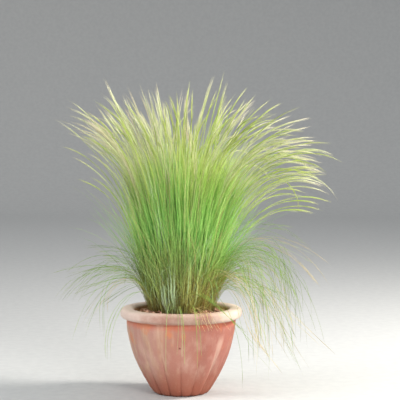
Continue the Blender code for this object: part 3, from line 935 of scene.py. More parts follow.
# -------------------------------------------------------------- flower plumes
# Stems that show one by one in the picture's outline. Each line: foot x and y,
# head's tip x, y and z, lean from the vertical at the foot and at the tip in
# degrees, number of stems side by side, their spread at the tip, and tone.
SHOWN = [
    (-0.045, -0.020, -0.218, 0.000, 0.897, 3, 26, 2, 0.003, 0.10),
    (-0.035, 0.020, -0.168, 0.030, 0.862, 2, 27, 2, 0.005, 0.30),
    (-0.060, 0.010, -0.238, 0.020, 0.808, 5, 38, 4, 0.007, 0.20),
    (-0.066, -0.020, -0.271, -0.050, 0.791, 8, 62, 8, 0.012, 0.05),
    (-0.060, -0.030, -0.258, -0.080, 0.753, 8, 58, 9, 0.014, 0.15),
    (-0.020, 0.000, -0.110, 0.000, 0.882, 1, 24, 2, 0.005, 0.25),
    (-0.015, 0.040, -0.128, 0.060, 0.825, 1, 22, 3, 0.008, 0.35),
    (-0.012, -0.020, -0.066, -0.020, 0.886, 1, 14, 2, 0.005, 0.20),
    (-0.008, 0.020, -0.056, 0.020, 0.819, 0, 22, 3, 0.006, 0.30),
    (0.002, -0.010, 0.009, 0.000, 0.878, -3, 15, 2, 0.003, 0.12),
    (0.012, 0.020, 0.017, 0.020, 0.805, 2, -7, 3, 0.005, 0.30),
    (0.012, -0.030, 0.004, -0.050, 0.777, 1, -24, 4, 0.005, 0.05),
    (0.004, 0.030, 0.050, 0.050, 0.817, 0, 50, 1, 0.002, 0.10),
    (0.018, 0.000, 0.093, 0.000, 0.900, 1, 20, 3, 0.005, 0.45),
    (0.015, -0.030, 0.070, -0.030, 0.841, 1, 18, 3, 0.006, 0.55),
    (0.028, -0.010, 0.130, -0.010, 0.901, 1, 18, 3, 0.006, 0.60),
    (0.030, 0.030, 0.115, 0.040, 0.825, 2, 12, 4, 0.008, 0.70),
    (0.040, 0.010, 0.212, 0.020, 0.830, 3, 52, 3, 0.005, 0.10),
    (0.042, -0.020, 0.183, -0.020, 0.794, 3, 36, 4, 0.008, 0.30),
    (0.055, 0.000, 0.370, 0.000, 0.777, 5, 82, 3, 0.006, 0.15),
    (0.058, -0.030, 0.331, -0.050, 0.720, 6, 98, 9, 0.012, 0.20),
    (0.060, 0.030, 0.386, 0.050, 0.713, 6, 92, 5, 0.012, 0.30),
    (0.066, -0.020, 0.379, -0.030, 0.653, 8, 112, 9, 0.013, 0.12),
    (0.070, -0.040, 0.388, -0.060, 0.637, 9, 92, 9, 0.014, 0.62),
    (0.075, 0.020, 0.409, 0.050, 0.577, 10, 118, 6, 0.014, 0.40),
    (0.080, -0.020, 0.381, -0.020, 0.536, 14, 110, 6, 0.016, 0.70),
    (-0.080, -0.020, -0.273, -0.030, 0.681, 10, 66, 3, 0.016, 0.50),
    (-0.084, -0.030, -0.278, -0.040, 0.609, 14, 72, 2, 0.018, 0.75),
]
REACH = 1.16                      # a head's hairs run on past the stem's end


def shown_stems():
    points, tones = [], []
    for fx, fy, tx, ty, tz, lean_foot, lean_tip, stems, wide, tone in SHOWN:
        # they stand in front of and behind one another, each where it still
        # shows at the same place in the picture
        deep = rng.uniform(-0.15, 0.02 if tz > 0.86 else 0.15)
        nearer = 1.0 + deep / CAMERA_DISTANCE
        tx, ty = CAMERA_X + (tx - CAMERA_X) * nearer, ty + deep
        tz = CAMERA_HEIGHT + (tz - CAMERA_HEIGHT) * nearer
        fy = fy + 0.35 * deep
        for _ in range(stems):
            foot = np.array([fx, fy, CROWN_Z + 0.0002])
            foot[:2] += rng.normal(0, 0.0035, 2)
            tip = np.array([tx, ty, tz]) + rng.normal(0, wide, 3) * (1.0, 1.6, 1.0)
            tip[2] -= abs(rng.normal(0, 0.012)) if stems > 1 else 0.0
            way = tip - foot
            sign = 1.0 if way[0] >= 0 else -1.0
            if abs(way[0]) < 0.012:
                sign = 1.0
            flat = np.array([abs(way[0]), 0.0, 0.0])
            heading = math.atan2(way[1], abs(way[0]) + 1e-6) if abs(way[0]) > 0.05 else 0.0
            reach = np.linalg.norm(way)

            def towards(lean):
                a = math.radians(lean + rng.normal(0, 1.2))
                return np.array([sign * math.sin(a) * math.cos(heading),
                                 math.sin(a) * math.sin(heading), math.cos(a)])

            c1 = foot + 0.46 * reach * towards(lean_foot)
            c2 = tip - (0.36 if lean_tip < 75 else 0.44) * reach * towards(lean_tip)
            t = np.linspace(0, 1, 400)[:, None]
            b = ((1 - t) ** 3 * foot + 3 * (1 - t) ** 2 * t * c1
                 + 3 * (1 - t) * t ** 2 * c2 + t ** 3 * tip)
            d = np.concatenate([[0], np.cumsum(np.linalg.norm(np.diff(b, axis=0), axis=1))])
            even = np.linspace(0, d[-1], FINE + 1)
            points.append(np.stack([np.interp(even, d, b[:, i]) for i in range(3)], 1))
            tones.append(tone)
    points = np.array(points)
    out = points[:, -1] - points[:, 0]
    side = unit(np.stack([-out[:, 1], out[:, 0], np.zeros(len(out))], 1) + 1e-9)
    length = np.linalg.norm(np.diff(points, axis=1), axis=2).sum(1) / REACH
    tones = np.clip(np.array(tones) + rng.normal(0, 0.03, len(tones)), 0, 1)
    return points, side, length, tones


def fountain_stems(count):
    base_r, azimuth, base = crown_points(count, 0.5)
    plane, lean, bend, power = spread(count, base_r, azimuth, 0.40, 2.2, 0.15)
    length = (ring_value(base_r, 6) * (1.0 + 0.035 * np.cos(azimuth) * base_r / CLUMP_R)
              * rng.triangular(0.72, 0.84, 0.90, count))
    # towards the front the heads stand lower behind each other
    front = np.clip(-np.sin(plane) - 0.35, 0, 1) * (base_r > 0.05)
    bend = np.minimum(bend * (1.0 - 0.35 * front), np.where(front > 0.1, 66.0, 200.0))
    points, side, u = blade_paths(base, plane, length, lean, bend, power, FINE,
                                  wave=wave(count, 0.006), extend=REACH)
    tone = rng.uniform(0, 1, count)
    head = points[:, int(FINE * 0.8)]
    tone = np.where(head[:, 0] < -0.03, tone * 0.55, tone)
    tone = np.where(head[:, 0] > 0.03, 0.25 + 0.75 * tone, tone)
    tone = np.where(front > 0.2, 0.72 + 0.28 * tone, tone)
    return points, side, length, tone


AWNS = 18
first, second = shown_stems(), fountain_stems(215)
points, side, length, tone = (np.concatenate([a, b]) for a, b in zip(first, second))
shown = np.arange(len(points)) < len(first[0])
u = np.linspace(0.0, REACH, FINE + 1)
keep = inside_box(points)
points, side, length, tone, shown = (v[keep] for v in (points, side, length, tone, shown))
light = rng.uniform(0.25, 1.0, len(points))
light[shown] = rng.uniform(0.65, 1.0, shown.sum())
names, which = nearest_guide("flower_plume", points, u, length)
thick = rng.uniform(0.85, 1.2, len(points))
stations = 13
at = np.linspace(0.0, 1.14, stations)
stem_points = pick(points, u, at)
stem_ring = np.interp(at[:-1], [0.0, 0.3, 0.6, 0.9, 1.14],
                      [0.00056, 0.00054, 0.00062, 0.00064, 0.00030])
thick[shown] *= 1.15
head_part = np.clip((at - 0.50) / 0.22, 0, 1)
for i, name in enumerate(names):
    mine = np.flatnonzero(which == i)
    if not len(mine):
        continue
    s = strands_of(name)
    m = len(mine)
    s.add(stem_points[mine], thick[mine, None] * stem_ring[None, :], side[mine],
          np.minimum(at, 1.0)[None, :].repeat(m, 0), tone[mine],
          head_part[None, :].repeat(m, 0), np.arange(m) * 2, light[mine])
    # the hairs of each head lie close along the stem and run on to a point
    q = 5
    t = np.linspace(0.0, 1.0, q)
    loose = np.where(rng.uniform(0, 1, m) < 0.20, 2.0, 1.0)
    for j in range(AWNS):
        start = 0.50 + 0.46 * rng.beta(1.3, 1.1, m)
        reach = rng.uniform(0.060, 0.125, m) / length[mine]
        end = np.minimum(start + reach, rng.uniform(1.06, 1.155, m))
        # some lead the head on to its point
        lead = rng.uniform(0, 1, m) < 0.34
        start = np.where(lead, rng.uniform(0.82, 0.98, m), start)
        end = np.where(lead, rng.uniform(1.10, 1.158, m), end)
        turn = rng.uniform(0, 2 * math.pi, m)
        wide = rng.uniform(0.0004, 0.0019, m) * loose * (1.25 - 0.9 * (start - 0.5))
        where = start[:, None] + (end - start)[:, None] * t[None, :]
        p = pick(points[mine], u, where)
        tangent = unit(pick(points[mine], u, np.minimum(where + 0.01, REACH))
                       - pick(points[mine], u, where - 0.01))
        a = side[mine][:, None, :]
        b = np.cross(tangent, a)
        off = wide[:, None] * np.sin(np.clip(t * 1.15, 0, 1) * math.pi * 0.62)[None, :]
        off = off + (loose * rng.uniform(0, 0.0008, m))[:, None] * t[None, :] ** 2
        p = p + off[:, :, None] * (np.cos(turn)[:, None, None] * a
                                   + np.sin(turn)[:, None, None] * b)
        p[:, :, 2] -= rng.uniform(0.0, 0.003, m)[:, None] * t[None, :] ** 2
        radius = np.array([0.00042, 0.00046, 0.00040, 0.00028])[None, :].repeat(m, 0)
        s.add(p, radius, side[mine], (0.1 + 0.9 * t)[None, :].repeat(m, 0), tone[mine],
              np.ones((m, q)), np.arange(m) * 2 + 1,
              np.clip(light[mine] + rng.normal(0, 0.22, m), 0, 1), flat=0.9)

# ----------------------------------------------------- loose and rim blades
# how many wisps of thin blades each sheaf has, and how far they stray from it
SPARSE = {"right": (21, 1.2), "left": (8, 1.7), "back": (15, 1.4)}
PER_WISP = 3
# the blades over the front of the rim: heading, share of the length, count
RIM_BLADES = {"rim_blades_front_1": [(257.1, 0.80, 1), (276.0, 0.90, 4), (262.0, 0.50, 2)],
              "rim_blades_front_2": [(284.5, 0.98, 2), (307.0, 0.66, 7), (297.0, 0.54, 4)]}


def let_hang(points, start):
    """The thin end of each blade, from this share of its length on, turns
    straight down."""
    last = points.shape[1] - 1
    out = points.copy()
    for j, first in enumerate(np.round(start * last).astype(int)):
        if first >= last:
            continue
        s = np.linspace(0.0, 1.0, last - first + 1)
        across = points[j, first:, :2] - points[j, first, :2]
        out[j, first:, :2] = points[j, first, :2] + across * (1.0 - 0.5 * s)[:, None]
        out[j, first:, 2] -= 0.35 * s ** 2 * np.hypot(*across[-1])
    return out


for name, az, reach, lean0, bend0, knee0 in LOOSE:
    rim = name.startswith("rim")
    a = math.radians(az)
    if rim:
        wisps, stray = len(RIM_BLADES[name]), 0.4
        k = np.arange(wisps).repeat([row[2] for row in RIM_BLADES[name]])
    else:
        wisps, stray = SPARSE[name.split("_")[2]]
        if name.endswith("right_4"):
            wisps = 11
        k = np.arange(wisps).repeat(PER_WISP)
    n = len(k)
    base_az = (a + rng.normal(0, 0.05 if rim else 0.30, wisps))[k]
    base_r = rng.uniform(0.066, 0.0900, wisps)[k]
    plane = a + rng.normal(0, 0.20 * stray, wisps)
    share = rng.triangular(0.45, 0.92, 1.03, wisps)
    lean = lean0 + rng.normal(0, 4.0 * stray, wisps)
    bend = bend0 * rng.uniform(0.74 if not rim else 0.92, 1.02, wisps)
    knee = knee0 * rng.uniform(0.80, 1.60 if not rim else 1.1, wisps)
    power = rng.uniform(2.0, 4.2, wisps)
    if rim:
        plane = np.radians([row[0] for row in RIM_BLADES[name]])
        share = np.array([row[1] for row in RIM_BLADES[name]])
    elif "right" in name:
        # some fold over low and then run almost straight
        straight = rng.uniform(0, 1, wisps) < 0.30
        knee = np.where(straight, rng.uniform(0.20, 0.32, wisps), knee)
        power = np.where(straight, 4.0, power)
        bend = np.where(straight, bend0 * rng.uniform(0.84, 0.98, wisps), bend)
    # the first wisp is the sheaf's own curve
    base_az[k == 0], base_r[k == 0], plane[0] = a, 0.0900, a
    share[0], lean[0], bend[0], knee[0], power[0] = 1.0, lean0, bend0, knee0, 3.0
    # a short blade turns over less than a long one
    bend *= np.clip(share, 0, 1) ** 0.8
    shape = wave(wisps, 0.002 if rim else 0.013)
    shape[0][0] = 0.0
    base = np.stack([base_r * np.cos(base_az), base_r * np.sin(base_az),
                     np.full(n, CROWN_Z + 0.0002)], 1)
    base[:, :2] += rng.normal(0, 0.0012, (n, 2))
    plane = plane[k] + rng.normal(0, 0.045, n)
    if rim:
        # one wisp hangs close together, the others fan out
        plane = plane + rng.normal(0, 1, n) * np.where(k == 1, 0.0, 0.06)
        if name.endswith("2"):
            plane = plane + rng.normal(0, 0.09, n) * (k > 0)
    length = reach * share[k] * rng.uniform(0.80, 1.03, n)
    lean = lean[k] + rng.normal(0, 0.8, n)
    bend = bend[k] * np.exp(rng.normal(0, 0.03, n))
    w = (shape[0][k] * rng.uniform(0.8, 1.2, n), shape[1][k],
         shape[2][k] + rng.normal(0, 0.12, n))
    points, side, u = blade_paths(base, plane, length, lean, bend, power[k], FINE, knee[k], w)
    if not rim:
        hang = np.where(rng.uniform(0, 1, wisps) < (0.20 if "left" in name else 0.65),
                        rng.uniform(0.34, 0.62, wisps), 1.0)
        hang[0] = 1.0
        points = let_hang(points, hang[k])
    points = pot_clear(points)
    keep = inside_box(points) & (points[:, :, 2].min(1) > 0.030)
    points, side, length = points[keep], side[keep], length[keep]
    tone = np.clip(rng.uniform(0, 1, wisps)[k] + rng.normal(0, 0.06, n), 0, 1)[keep]
    light = np.clip(rng.uniform(0.1, 1.0, wisps)[k] + rng.normal(0, 0.15, n), 0, 1)[keep]
    n = len(points)
    stations = 43 if rim else 13
    at = np.linspace(0.0, 1.0, stations)
    p = pick(points, u, at)
    s = strands_of(name)
    if rim:
        # a straw-coloured fan on the right, green ones on the left of it
        tone, light = rng.uniform(0.4, 1.0, n), rng.uniform(0.6, 1.0, n)
        if name.endswith("2"):
            fan = k[keep] > 0
            tone[fan], light[fan] = rng.uniform(0.0, 0.10, fan.sum()), 1.0
    width = taper(stations, 0.00056, 0.00072 if rim else 0.00068, 0.00030)
    s.add(p, rng.uniform(0.75, 1.2, n)[:, None] * width, side, at[None, :].repeat(n, 0),
          tone, np.zeros((n, stations)), np.arange(n), light)
    # some carry a thin feathery end
    if rim:
        continue
    for j in range(8):
        some = np.flatnonzero(rng.uniform(0, 1, n) < 0.30)
        m = len(some)
        if not m:
            continue
        q = 4
        t = np.linspace(0.0, 1.0, q)
        start = rng.uniform(0.55, 0.90, m)
        end = np.minimum(start + rng.uniform(0.10, 0.22, m), 1.0)
        pp = pick(points[some], u, start[:, None] + (end - start)[:, None] * t[None, :])
        turn = rng.uniform(0, 2 * math.pi, m)
        off = (rng.uniform(0.001, 0.004, m)[:, None] * t[None, :])[:, :, None]
        pp = pp + off * (np.cos(turn)[:, None, None] * side[some][:, None, :])
        pp[:, :, 2] += off[:, :, 0] * np.sin(turn)[:, None]
        s.add(pp, np.full((m, q - 1), 0.00026), side[some],
              (0.55 + 0.45 * t)[None, :].repeat(m, 0), tone[some],
              np.zeros((m, q)), some, light[some], flat=0.9)

# the outermost hairs, finer than the rest: some cross it and some run with it
add_draped(360, 0.10, 0.30, 0.10, 0.80, (0.00050, 0.00058, 0.00026), mixed_tone,
           lambda n: rng.uniform(0.5, 1.0, n), 0.012, proud=0.018)
add_draped(320, 0.18, 0.36, 0.0, 0.16, (0.00050, 0.00058, 0.00026),
           lambda n: rng.uniform(0.2, 0.89, n), lambda n: rng.uniform(0.86, 1.0, n), 0.004,
           proud=0.014)
add_stray(160)

SURFACES = {"leaf_tuft": (LEAF_SURFACE, "green_leaf"),
            "flower_plume": (PLUME_SURFACE, "straw_plume"),
            "arching_blades": (LOOSE_SURFACE, "silver_green_leaf"),
            "rim_blades": (LOOSE_SURFACE, "silver_green_leaf")}
for name, s in pieces.items():
    kind = next(k for k in SURFACES if name.startswith(k))
    mat, slot = SURFACES[kind]
    ob = s.build(name + "_fine", mat)
    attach(ob, BODY)
    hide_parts(name)

# ------------------------------------------------------------------------ pot


def smooth_profile(points, z):
    """Radius at heights z on a smooth curve through (z, radius) points."""
    zs = np.array([p[0] for p in points])
    rs = np.array([p[1] for p in points])
    slope = np.diff(rs) / np.diff(zs)
    tangent = np.concatenate([[slope[0]], 0.5 * (slope[:-1] + slope[1:]), [slope[-1]]])
    z = np.clip(z, zs[0], zs[-1])
    i = np.clip(np.searchsorted(zs, z, side="right") - 1, 0, len(zs) - 2)
    h = zs[i + 1] - zs[i]
    t = (z - zs[i]) / h
    return ((2 * t ** 3 - 3 * t ** 2 + 1) * rs[i] + (t ** 3 - 2 * t ** 2 + t) * h * tangent[i]
            + (-2 * t ** 3 + 3 * t ** 2) * rs[i + 1] + (t ** 3 - t ** 2) * h * tangent[i + 1])


def turned_mesh(name, radius, height, mat, cap_low, cap_high):
    """A closed solid from (rings, columns) grids of radius and height."""
    rings, columns = radius.shape
    a = 2 * math.pi * np.arange(columns) / columns
    verts = np.stack([radius * np.cos(a), radius * np.sin(a), height], 2).reshape(-1, 3)
    i, k = np.meshgrid(np.arange(rings - 1), np.arange(columns), indexing="ij")
    nxt = (k + 1) % columns
    quads = np.stack([i * columns + k, i * columns + nxt,
                      (i + 1) * columns + nxt, (i + 1) * columns + k], 2).reshape(-1, 4)
    low = len(verts)
    verts = np.concatenate([verts, [[0, 0, cap_low], [0, 0, cap_high]]])
    k = np.arange(columns)
    nxt = (k + 1) % columns
    top = (rings - 1) * columns
    tris = np.concatenate([np.stack([np.full(columns, low), nxt, k], 1),
                           np.stack([np.full(columns, low + 1), top + k, top + nxt], 1)])
    return make_mesh(name, verts, [quads, tris], mat)


def make_pot():
    columns = 320
    a = 2 * math.pi * np.arange(columns) / columns
    # 0 on a flute's crown and 1 in its crease
    wave_ = np.abs(np.cos(0.5 * FLUTES * (a + 0.5 * math.pi) + 0.5 * math.pi))
    crease = 1.0 - wave_ ** 0.6
    rows_r, rows_z = [], []

    def row(r, z):
        rows_r.append(np.broadcast_to(r, (columns,)).astype(float).copy())
        rows_z.append(np.broadcast_to(z, (columns,)).astype(float).copy())

    for r in (0.020, 0.034, 0.043, 0.052, 0.062, 0.070):
        row(r, 0.0)

    def outer(z, foot=0.0):
        fade = max(0.0, 1.0 - z / FLUTE_TOP_Z) ** 0.7
        r = smooth_profile(OUTER, np.array([z]))[0] - foot
        row(r - 1.6 * FLUTE_DEPTH * fade * crease, z)

    for z, foot in ((0.0, 0.0018), (0.0006, 0.0009), (0.0018, 0.0002)):
        outer(z, foot)
    for z in np.linspace(0.0036, 0.2060, 84):
        outer(float(z))
    row(0.1524, 0.2078)
    row(0.1528, 0.2090)
    half_w = 0.5 * (RIM_OUTER_R - RIM_MOUTH_R)
    half_h = 0.5 * (POT_HEIGHT - RIM_UNDERSIDE_Z)
    for deg in np.linspace(-66, 190, 44):
        t = math.radians(deg)
        c, s = math.cos(t), math.sin(t)
        r = RIM_MOUTH_R + half_w + half_w * math.copysign(abs(c) ** 0.72, c)
        z = RIM_UNDERSIDE_Z + half_h + half_h * math.copysign(abs(s) ** 0.72, s)
        row(r, z)
    for z in (0.2165, 0.213, 0.208, 0.200, 0.190, 0.180, 0.165, 0.150, 0.135, 0.120,
              0.104, 0.088, 0.072, 0.056, 0.044, 0.032, 0.025, 0.0205):
        row(float(smooth_profile(INNER, np.array([z]))[0]), z)
    for r in (0.068, 0.060, 0.052, 0.043, 0.034, 0.020):
        row(r, POT_FLOOR_Z)
    radius, height = np.array(rows_r), np.array(rows_z)
    # hand-made unevenness, on the outside only
    level = np.arange(len(radius))[:, None]
    outside = (level > 8) & (level < 8 + 84 + 2 + 30)
    ang = a[None, :]
    uneven = (0.00055 * np.sin(2 * ang + 0.6) * np.clip(height / 0.24, 0, 1)
              + 0.00030 * np.sin(5 * ang + 31 * height)
              + 0.00016 * np.sin(9 * ang - 90 * height + 1.0)
              + 0.00010 * np.sin(260 * height + 3 * np.sin(2 * ang)))
    radius = radius + np.where(outside, uneven, 0.0)
    lift = 0.00035 * np.sin(3 * ang + 0.9) + 0.00020 * np.sin(7 * ang)
    height = height + np.where((height > 0.222) & outside, lift * (height - 0.222) / 0.018, 0.0)
    ob = turned_mesh("terracotta_pot", radius, height, TERRACOTTA_SURFACE, 0.0, POT_FLOOR_Z)
    cutters = []
    for k in range(DRAIN_HOLES):
        t = math.radians(90 + 360 * k / DRAIN_HOLES)
        b = 2 * math.pi * np.arange(40) / 40
        x = DRAIN_CIRCLE_R * math.cos(t) + DRAIN_HOLE_R * np.cos(b)
        y = DRAIN_CIRCLE_R * math.sin(t) + DRAIN_HOLE_R * np.sin(b)
        verts = np.concatenate([np.stack([x, y, np.full(40, -0.01)], 1),
                                np.stack([x, y, np.full(40, POT_FLOOR_Z + 0.01)], 1)])
        idx = np.arange(40)
        quads = np.stack([idx, (idx + 1) % 40, 40 + (idx + 1) % 40, 40 + idx], 1)
        cutter = make_mesh(f"cutter_{k}", verts,
                           [quads, idx[::-1].reshape(1, -1), (40 + idx).reshape(1, -1)],
                           TERRACOTTA_SURFACE, smooth=False)
        cut = ob.modifiers.new("drain", "BOOLEAN")
        cut.operation, cut.solver, cut.object = "DIFFERENCE", "EXACT", cutter
        cutters.append(cutter)
    deps = bpy.context.evaluated_depsgraph_get()
    mesh = bpy.data.meshes.new_from_object(ob.evaluated_get(deps))
    ob.modifiers.clear()
    ob.data = mesh
    for cutter in cutters:
        bpy.data.objects.remove(cutter, do_unlink=True)
    mesh.shade_smooth()
    mesh.set_sharp_from_angle(angle=math.radians(45))
    return ob


pot = make_pot()
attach(pot, BODY)
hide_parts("pot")

# ----------------------------------------------------------------------- soil


def lumps(x, y, scale, seed):
    """Smooth unevenness between about -1 and 1, from crossed waves."""
    r = np.random.default_rng(seed)
    out = np.zeros_like(x)
    for _ in range(14):
        t, f, p = r.uniform(0, 2 * math.pi), scale * r.uniform(0.6, 1.8), r.uniform(0, 7)
        out += np.sin(f * (x * math.cos(t) + y * math.sin(t)) + p)
    return out / 4.2


def soil_top(r):
    """A little mound around the clump, falling to the pot's wall."""
    return np.interp(r, [0.0900, 0.1060, 0.1200, 0.1310],
                     [SOIL_Z + 0.0040, SOIL_Z + 0.0032, SOIL_Z, SOIL_EDGE_Z])


def make_soil():
    columns = 256
    a = 2 * math.pi * np.arange(columns) / columns
    rows_r, rows_z = [], []
    for r in (0.030, 0.060, 0.0672):
        rows_r.append(r), rows_z.append(POT_FLOOR_Z + 0.0003)
    for z in np.linspace(0.0205, 0.2145, 30):
        rows_r.append(float(smooth_profile(INNER, np.array([z]))[0]) - 0.0005)
        rows_z.append(float(z))
    rows_r.append(0.1318), rows_z.append(0.2178)
    top = len(rows_r)
    for r in np.concatenate([np.linspace(0.1308, 0.090, 40), np.linspace(0.086, 0.008, 20)]):
        rows_r.append(float(r)), rows_z.append(float(soil_top(r)))
    radius = np.array(rows_r)[:, None].repeat(columns, 1)
    height = np.array(rows_z)[:, None].repeat(columns, 1)
    x, y = radius * np.cos(a), radius * np.sin(a)
    bumps = 0.00060 * lumps(x, y, 210, 3) + 0.00045 * lumps(x, y, 620, 4)
    height[top:] += (bumps - 0.0009)[top:]
    return turned_mesh("soil_crumb", radius, height, SOIL_SURFACE,
                       POT_FLOOR_Z + 0.0003, SOIL_Z - 0.0009)


soil = make_soil()
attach(soil, BODY)
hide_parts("soil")

# ----------------------------------------------------------- bark and litter


def make_bark():
    """Chips of bark, crumbs and dry bits of leaf, each a closed piece."""
    verts, quads, tris, tone = [], [], [], []
    count = 0

    def put(v, q, t, shade):
        nonlocal count
        verts.append(v)
        if q is not None:
            quads.append(q + count)
        if t is not None:
            tris.append(t + count)
        tone.append(np.full(len(v), shade))
        count += len(v)

    box_quads = np.array([(0, 3, 2, 1), (4, 5, 6, 7), (0, 1, 5, 4), (1, 2, 6, 5),
                          (2, 3, 7, 6), (3, 0, 4, 7),
                          ])
    # an eight-sided chip: two outlines, the upper one smaller
    sides = 8
    idx = np.arange(sides)
    chip_quads = np.concatenate([
        np.stack([idx, (idx + 1) % sides, sides + (idx + 1) % sides, sides + idx], 1),
        np.stack([sides + idx, sides + (idx + 1) % sides,
                  2 * sides + (idx + 1) % sides, 2 * sides + idx], 1)])
    chip_tris = np.concatenate([
        np.stack([np.full(sides, 3 * sides), (idx + 1) % sides, idx], 1),
        np.stack([np.full(sides, 3 * sides + 1), 2 * sides + idx,
                  2 * sides + (idx + 1) % sides], 1)])
    for i in range(980):
        small = (i >= 330) & (i < 800)
        r = rng.uniform(0.0900, 0.1285)
        a = rng.uniform(0, 2 * math.pi)
        heap = 0.0
        if i >= 800:
            a = math.radians(rng.normal(-48.0, 15.0) if i < 920 else rng.normal(205.0, 14.0))
            r = rng.uniform(0.0780, 0.1220)
            heap = rng.uniform(0.0, 0.0065) * min(1.0, (0.1260 - r) / 0.018)
        if small:
            size = rng.uniform(0.0012, 0.0034, 3) * np.array([1.0, 0.8, 0.6])
        else:
            size = np.array([rng.uniform(0.0045, 0.0100), rng.uniform(0.0024, 0.0052),
                             rng.uniform(0.0009, 0.0021)])
        reach = float(size[0])
        r = min(r, 0.1300 - reach * 0.75)
        t = 2 * math.pi * idx / sides + rng.uniform(-0.2, 0.2, sides)
        outline = np.stack([np.cos(t) * rng.uniform(0.75, 1.1, sides),
                            np.sin(t) * rng.uniform(0.75, 1.1, sides)], 1)
        low = np.concatenate([outline * 0.86, np.full((sides, 1), -1.0)], 1)
        mid = np.concatenate([outline, rng.uniform(-0.25, 0.35, (sides, 1))], 1)
        up = np.concatenate([outline * rng.uniform(0.70, 0.90, (sides, 1)),
                             rng.uniform(0.7, 1.1, (sides, 1))], 1)
        v = np.concatenate([low, mid, up, [[0, 0, -1.0]], [[0, 0, rng.uniform(0.8, 1.15)]]])
        v = v * size
        tilt, roll, yaw = rng.normal(0, 0.28), rng.normal(0, 0.28), rng.uniform(0, 2 * math.pi)
        cx, sx, cy, sy = math.cos(tilt), math.sin(tilt), math.cos(roll), math.sin(roll)
        v = v @ np.array([[1, 0, 0], [0, cx, sx], [0, -sx, cx]])
        v = v @ np.array([[cy, 0, -sy], [0, 1, 0], [sy, 0, cy]])
        v = v @ np.array([[math.cos(yaw), math.sin(yaw), 0],
                          [-math.sin(yaw), math.cos(yaw), 0], [0, 0, 1]])
        layer = rng.choice([0.0, 0.0016, 0.0032], p=[0.5, 0.32, 0.18])
        v[:, 0] += r * math.cos(a)
        v[:, 1] += r * math.sin(a)
        v[:, 2] += float(soil_top(r)) + size[2] * 0.55 + layer + heap
        put(v, chip_quads, chip_tris, 0.75 * rng.uniform(0.0, 1.0) ** 0.7)
    ob_quads = np.concatenate(quads)
    ob_tris = np.concatenate(tris)
    chips_v, chips_tone = np.concatenate(verts), np.concatenate(tone)
    # dry bits of leaf lying on top
    n, m = 210, 7
    a = rng.uniform(0, 2 * math.pi, n)
    r = rng.uniform(0.0930, 0.1255, n)
    centre = np.stack([r * np.cos(a), r * np.sin(a)], 1)
    heading = rng.uniform(0, 2 * math.pi, n)
    curl = rng.normal(0, 1.0, n)
    half = rng.uniform(0.006, 0.020, n)
    t = np.linspace(-1, 1, m)
    direction = heading[:, None] + curl[:, None] * t[None, :] * 0.6
    x = centre[:, 0, None] + np.cumsum(np.cos(direction), 1) * (2 * half / m)[:, None]
    y = centre[:, 1, None] + np.cumsum(np.sin(direction), 1) * (2 * half / m)[:, None]
    rr = np.hypot(x, y)
    limit = np.clip(rr, 0.0900, 0.1290) / rr
    x, y = x * limit, y * limit
    z = (soil_top(np.hypot(x, y)) + 0.0030 + 0.0016 * (1 - t[None, :] ** 2)
         + rng.uniform(0.0, 0.0030, n)[:, None])
    s = Strands()
    s.add(np.stack([x, y, z], 2), np.full((n, m - 1), 0.00042) * rng.uniform(0.8, 1.4, (n, 1)),
          np.stack([np.zeros(n), np.zeros(n), np.ones(n)], 1),
          t[None, :].repeat(n, 0), rng.uniform(0.78, 1.0, n), np.zeros((n, m)),
          np.arange(n), np.zeros(n), flat=0.6)
    base = len(chips_v)
    all_v = np.concatenate([chips_v] + s.verts)
    all_tone = np.concatenate([chips_tone] + s.tone)
    ob = make_mesh("bark_and_litter", all_v,
                   [np.concatenate([ob_quads, np.concatenate(s.quads) + base]),
                    np.concatenate([ob_tris, np.concatenate(s.tris) + base])],
                   BARK_SURFACE, {"tone": all_tone}, smooth=False)
    return ob


bark = make_bark()
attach(bark, BODY)
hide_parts("bark_mulch")

# --------------------------------------------------------------------- studio


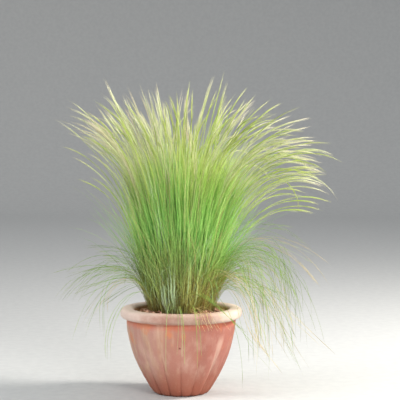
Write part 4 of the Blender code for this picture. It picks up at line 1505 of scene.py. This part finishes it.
def make_floor():
    """A pale floor, flat around the object and curving up far from it into a
    plain low wall all round, so that it looks the same from every side."""
    profile = [(0.0001, 0.0), (0.4, 0.0), (1.0, 0.0), (2.0, 0.0), (4.0, 0.0), (7.0, 0.0)]
    for deg in range(5, 91, 5):
        t = math.radians(deg)
        profile.append((7.0 + 2.5 * math.sin(t), 2.5 - 2.5 * math.cos(t)))
    profile.append((9.5, 4.5))
    columns = 96
    a = 2 * math.pi * np.arange(columns) / columns
    r = np.array([p[0] for p in profile])[:, None]
    z = np.array([p[1] for p in profile])[:, None] - 0.0004 + 0 * a[None, :]
    verts = np.stack([r * np.cos(a), r * np.sin(a), z], 2).reshape(-1, 3)
    i, k = np.meshgrid(np.arange(len(profile) - 1), np.arange(columns), indexing="ij")
    quads = np.stack([i * columns + k, (i + 1) * columns + k,
                      (i + 1) * columns + (k + 1) % columns,
                      i * columns + (k + 1) % columns], 2).reshape(-1, 4)
    n = Nodes("floor_paper")
    grain = n.noise(n.coords(), 35.0, 2.0)
    colour = n.ramp(grain, [(0.35, (0.50, 0.50, 0.495)), (0.65, (0.53, 0.53, 0.522))])
    mat = n.finish(colour, 0.9, specular=0.1)
    return make_mesh("floor", verts, [quads], mat)


floor = make_floor()


def area_light(name, place, target, size, power, colour):
    data = bpy.data.lights.new(name, "AREA")
    data.shape = "DISK"
    data.size = size
    data.energy = power
    data.color = colour
    ob = bpy.data.objects.new(name, data)
    ob.location = place
    direction = mathutils.Vector(target) - mathutils.Vector(place)
    ob.rotation_euler = direction.to_track_quat("-Z", "Y").to_euler()
    bpy.context.scene.collection.objects.link(ob)
    return ob


area_light("key", (2.7, 0.25, 2.4), (0.0, 0.0, 0.40), 0.8, 176.0, (1.0, 0.97, 0.91))
area_light("front", (1.5, -3.3, 1.9), (0.0, 0.0, 0.35), 1.6, 76.0, (1.0, 0.99, 0.97))
area_light("left", (-2.8, -1.2, 2.0), (0.0, 0.0, 0.45), 1.6, 50.0, (0.95, 0.98, 1.0))

world = bpy.data.worlds.new("studio")
world.use_nodes = True
background = next(n for n in world.node_tree.nodes if n.type == "BACKGROUND")
background.inputs["Color"].default_value = (0.94, 0.97, 1.0, 1.0)
background.inputs["Strength"].default_value = 0.68
bpy.context.scene.world = world
bpy.context.scene.view_settings.view_transform = "Standard"
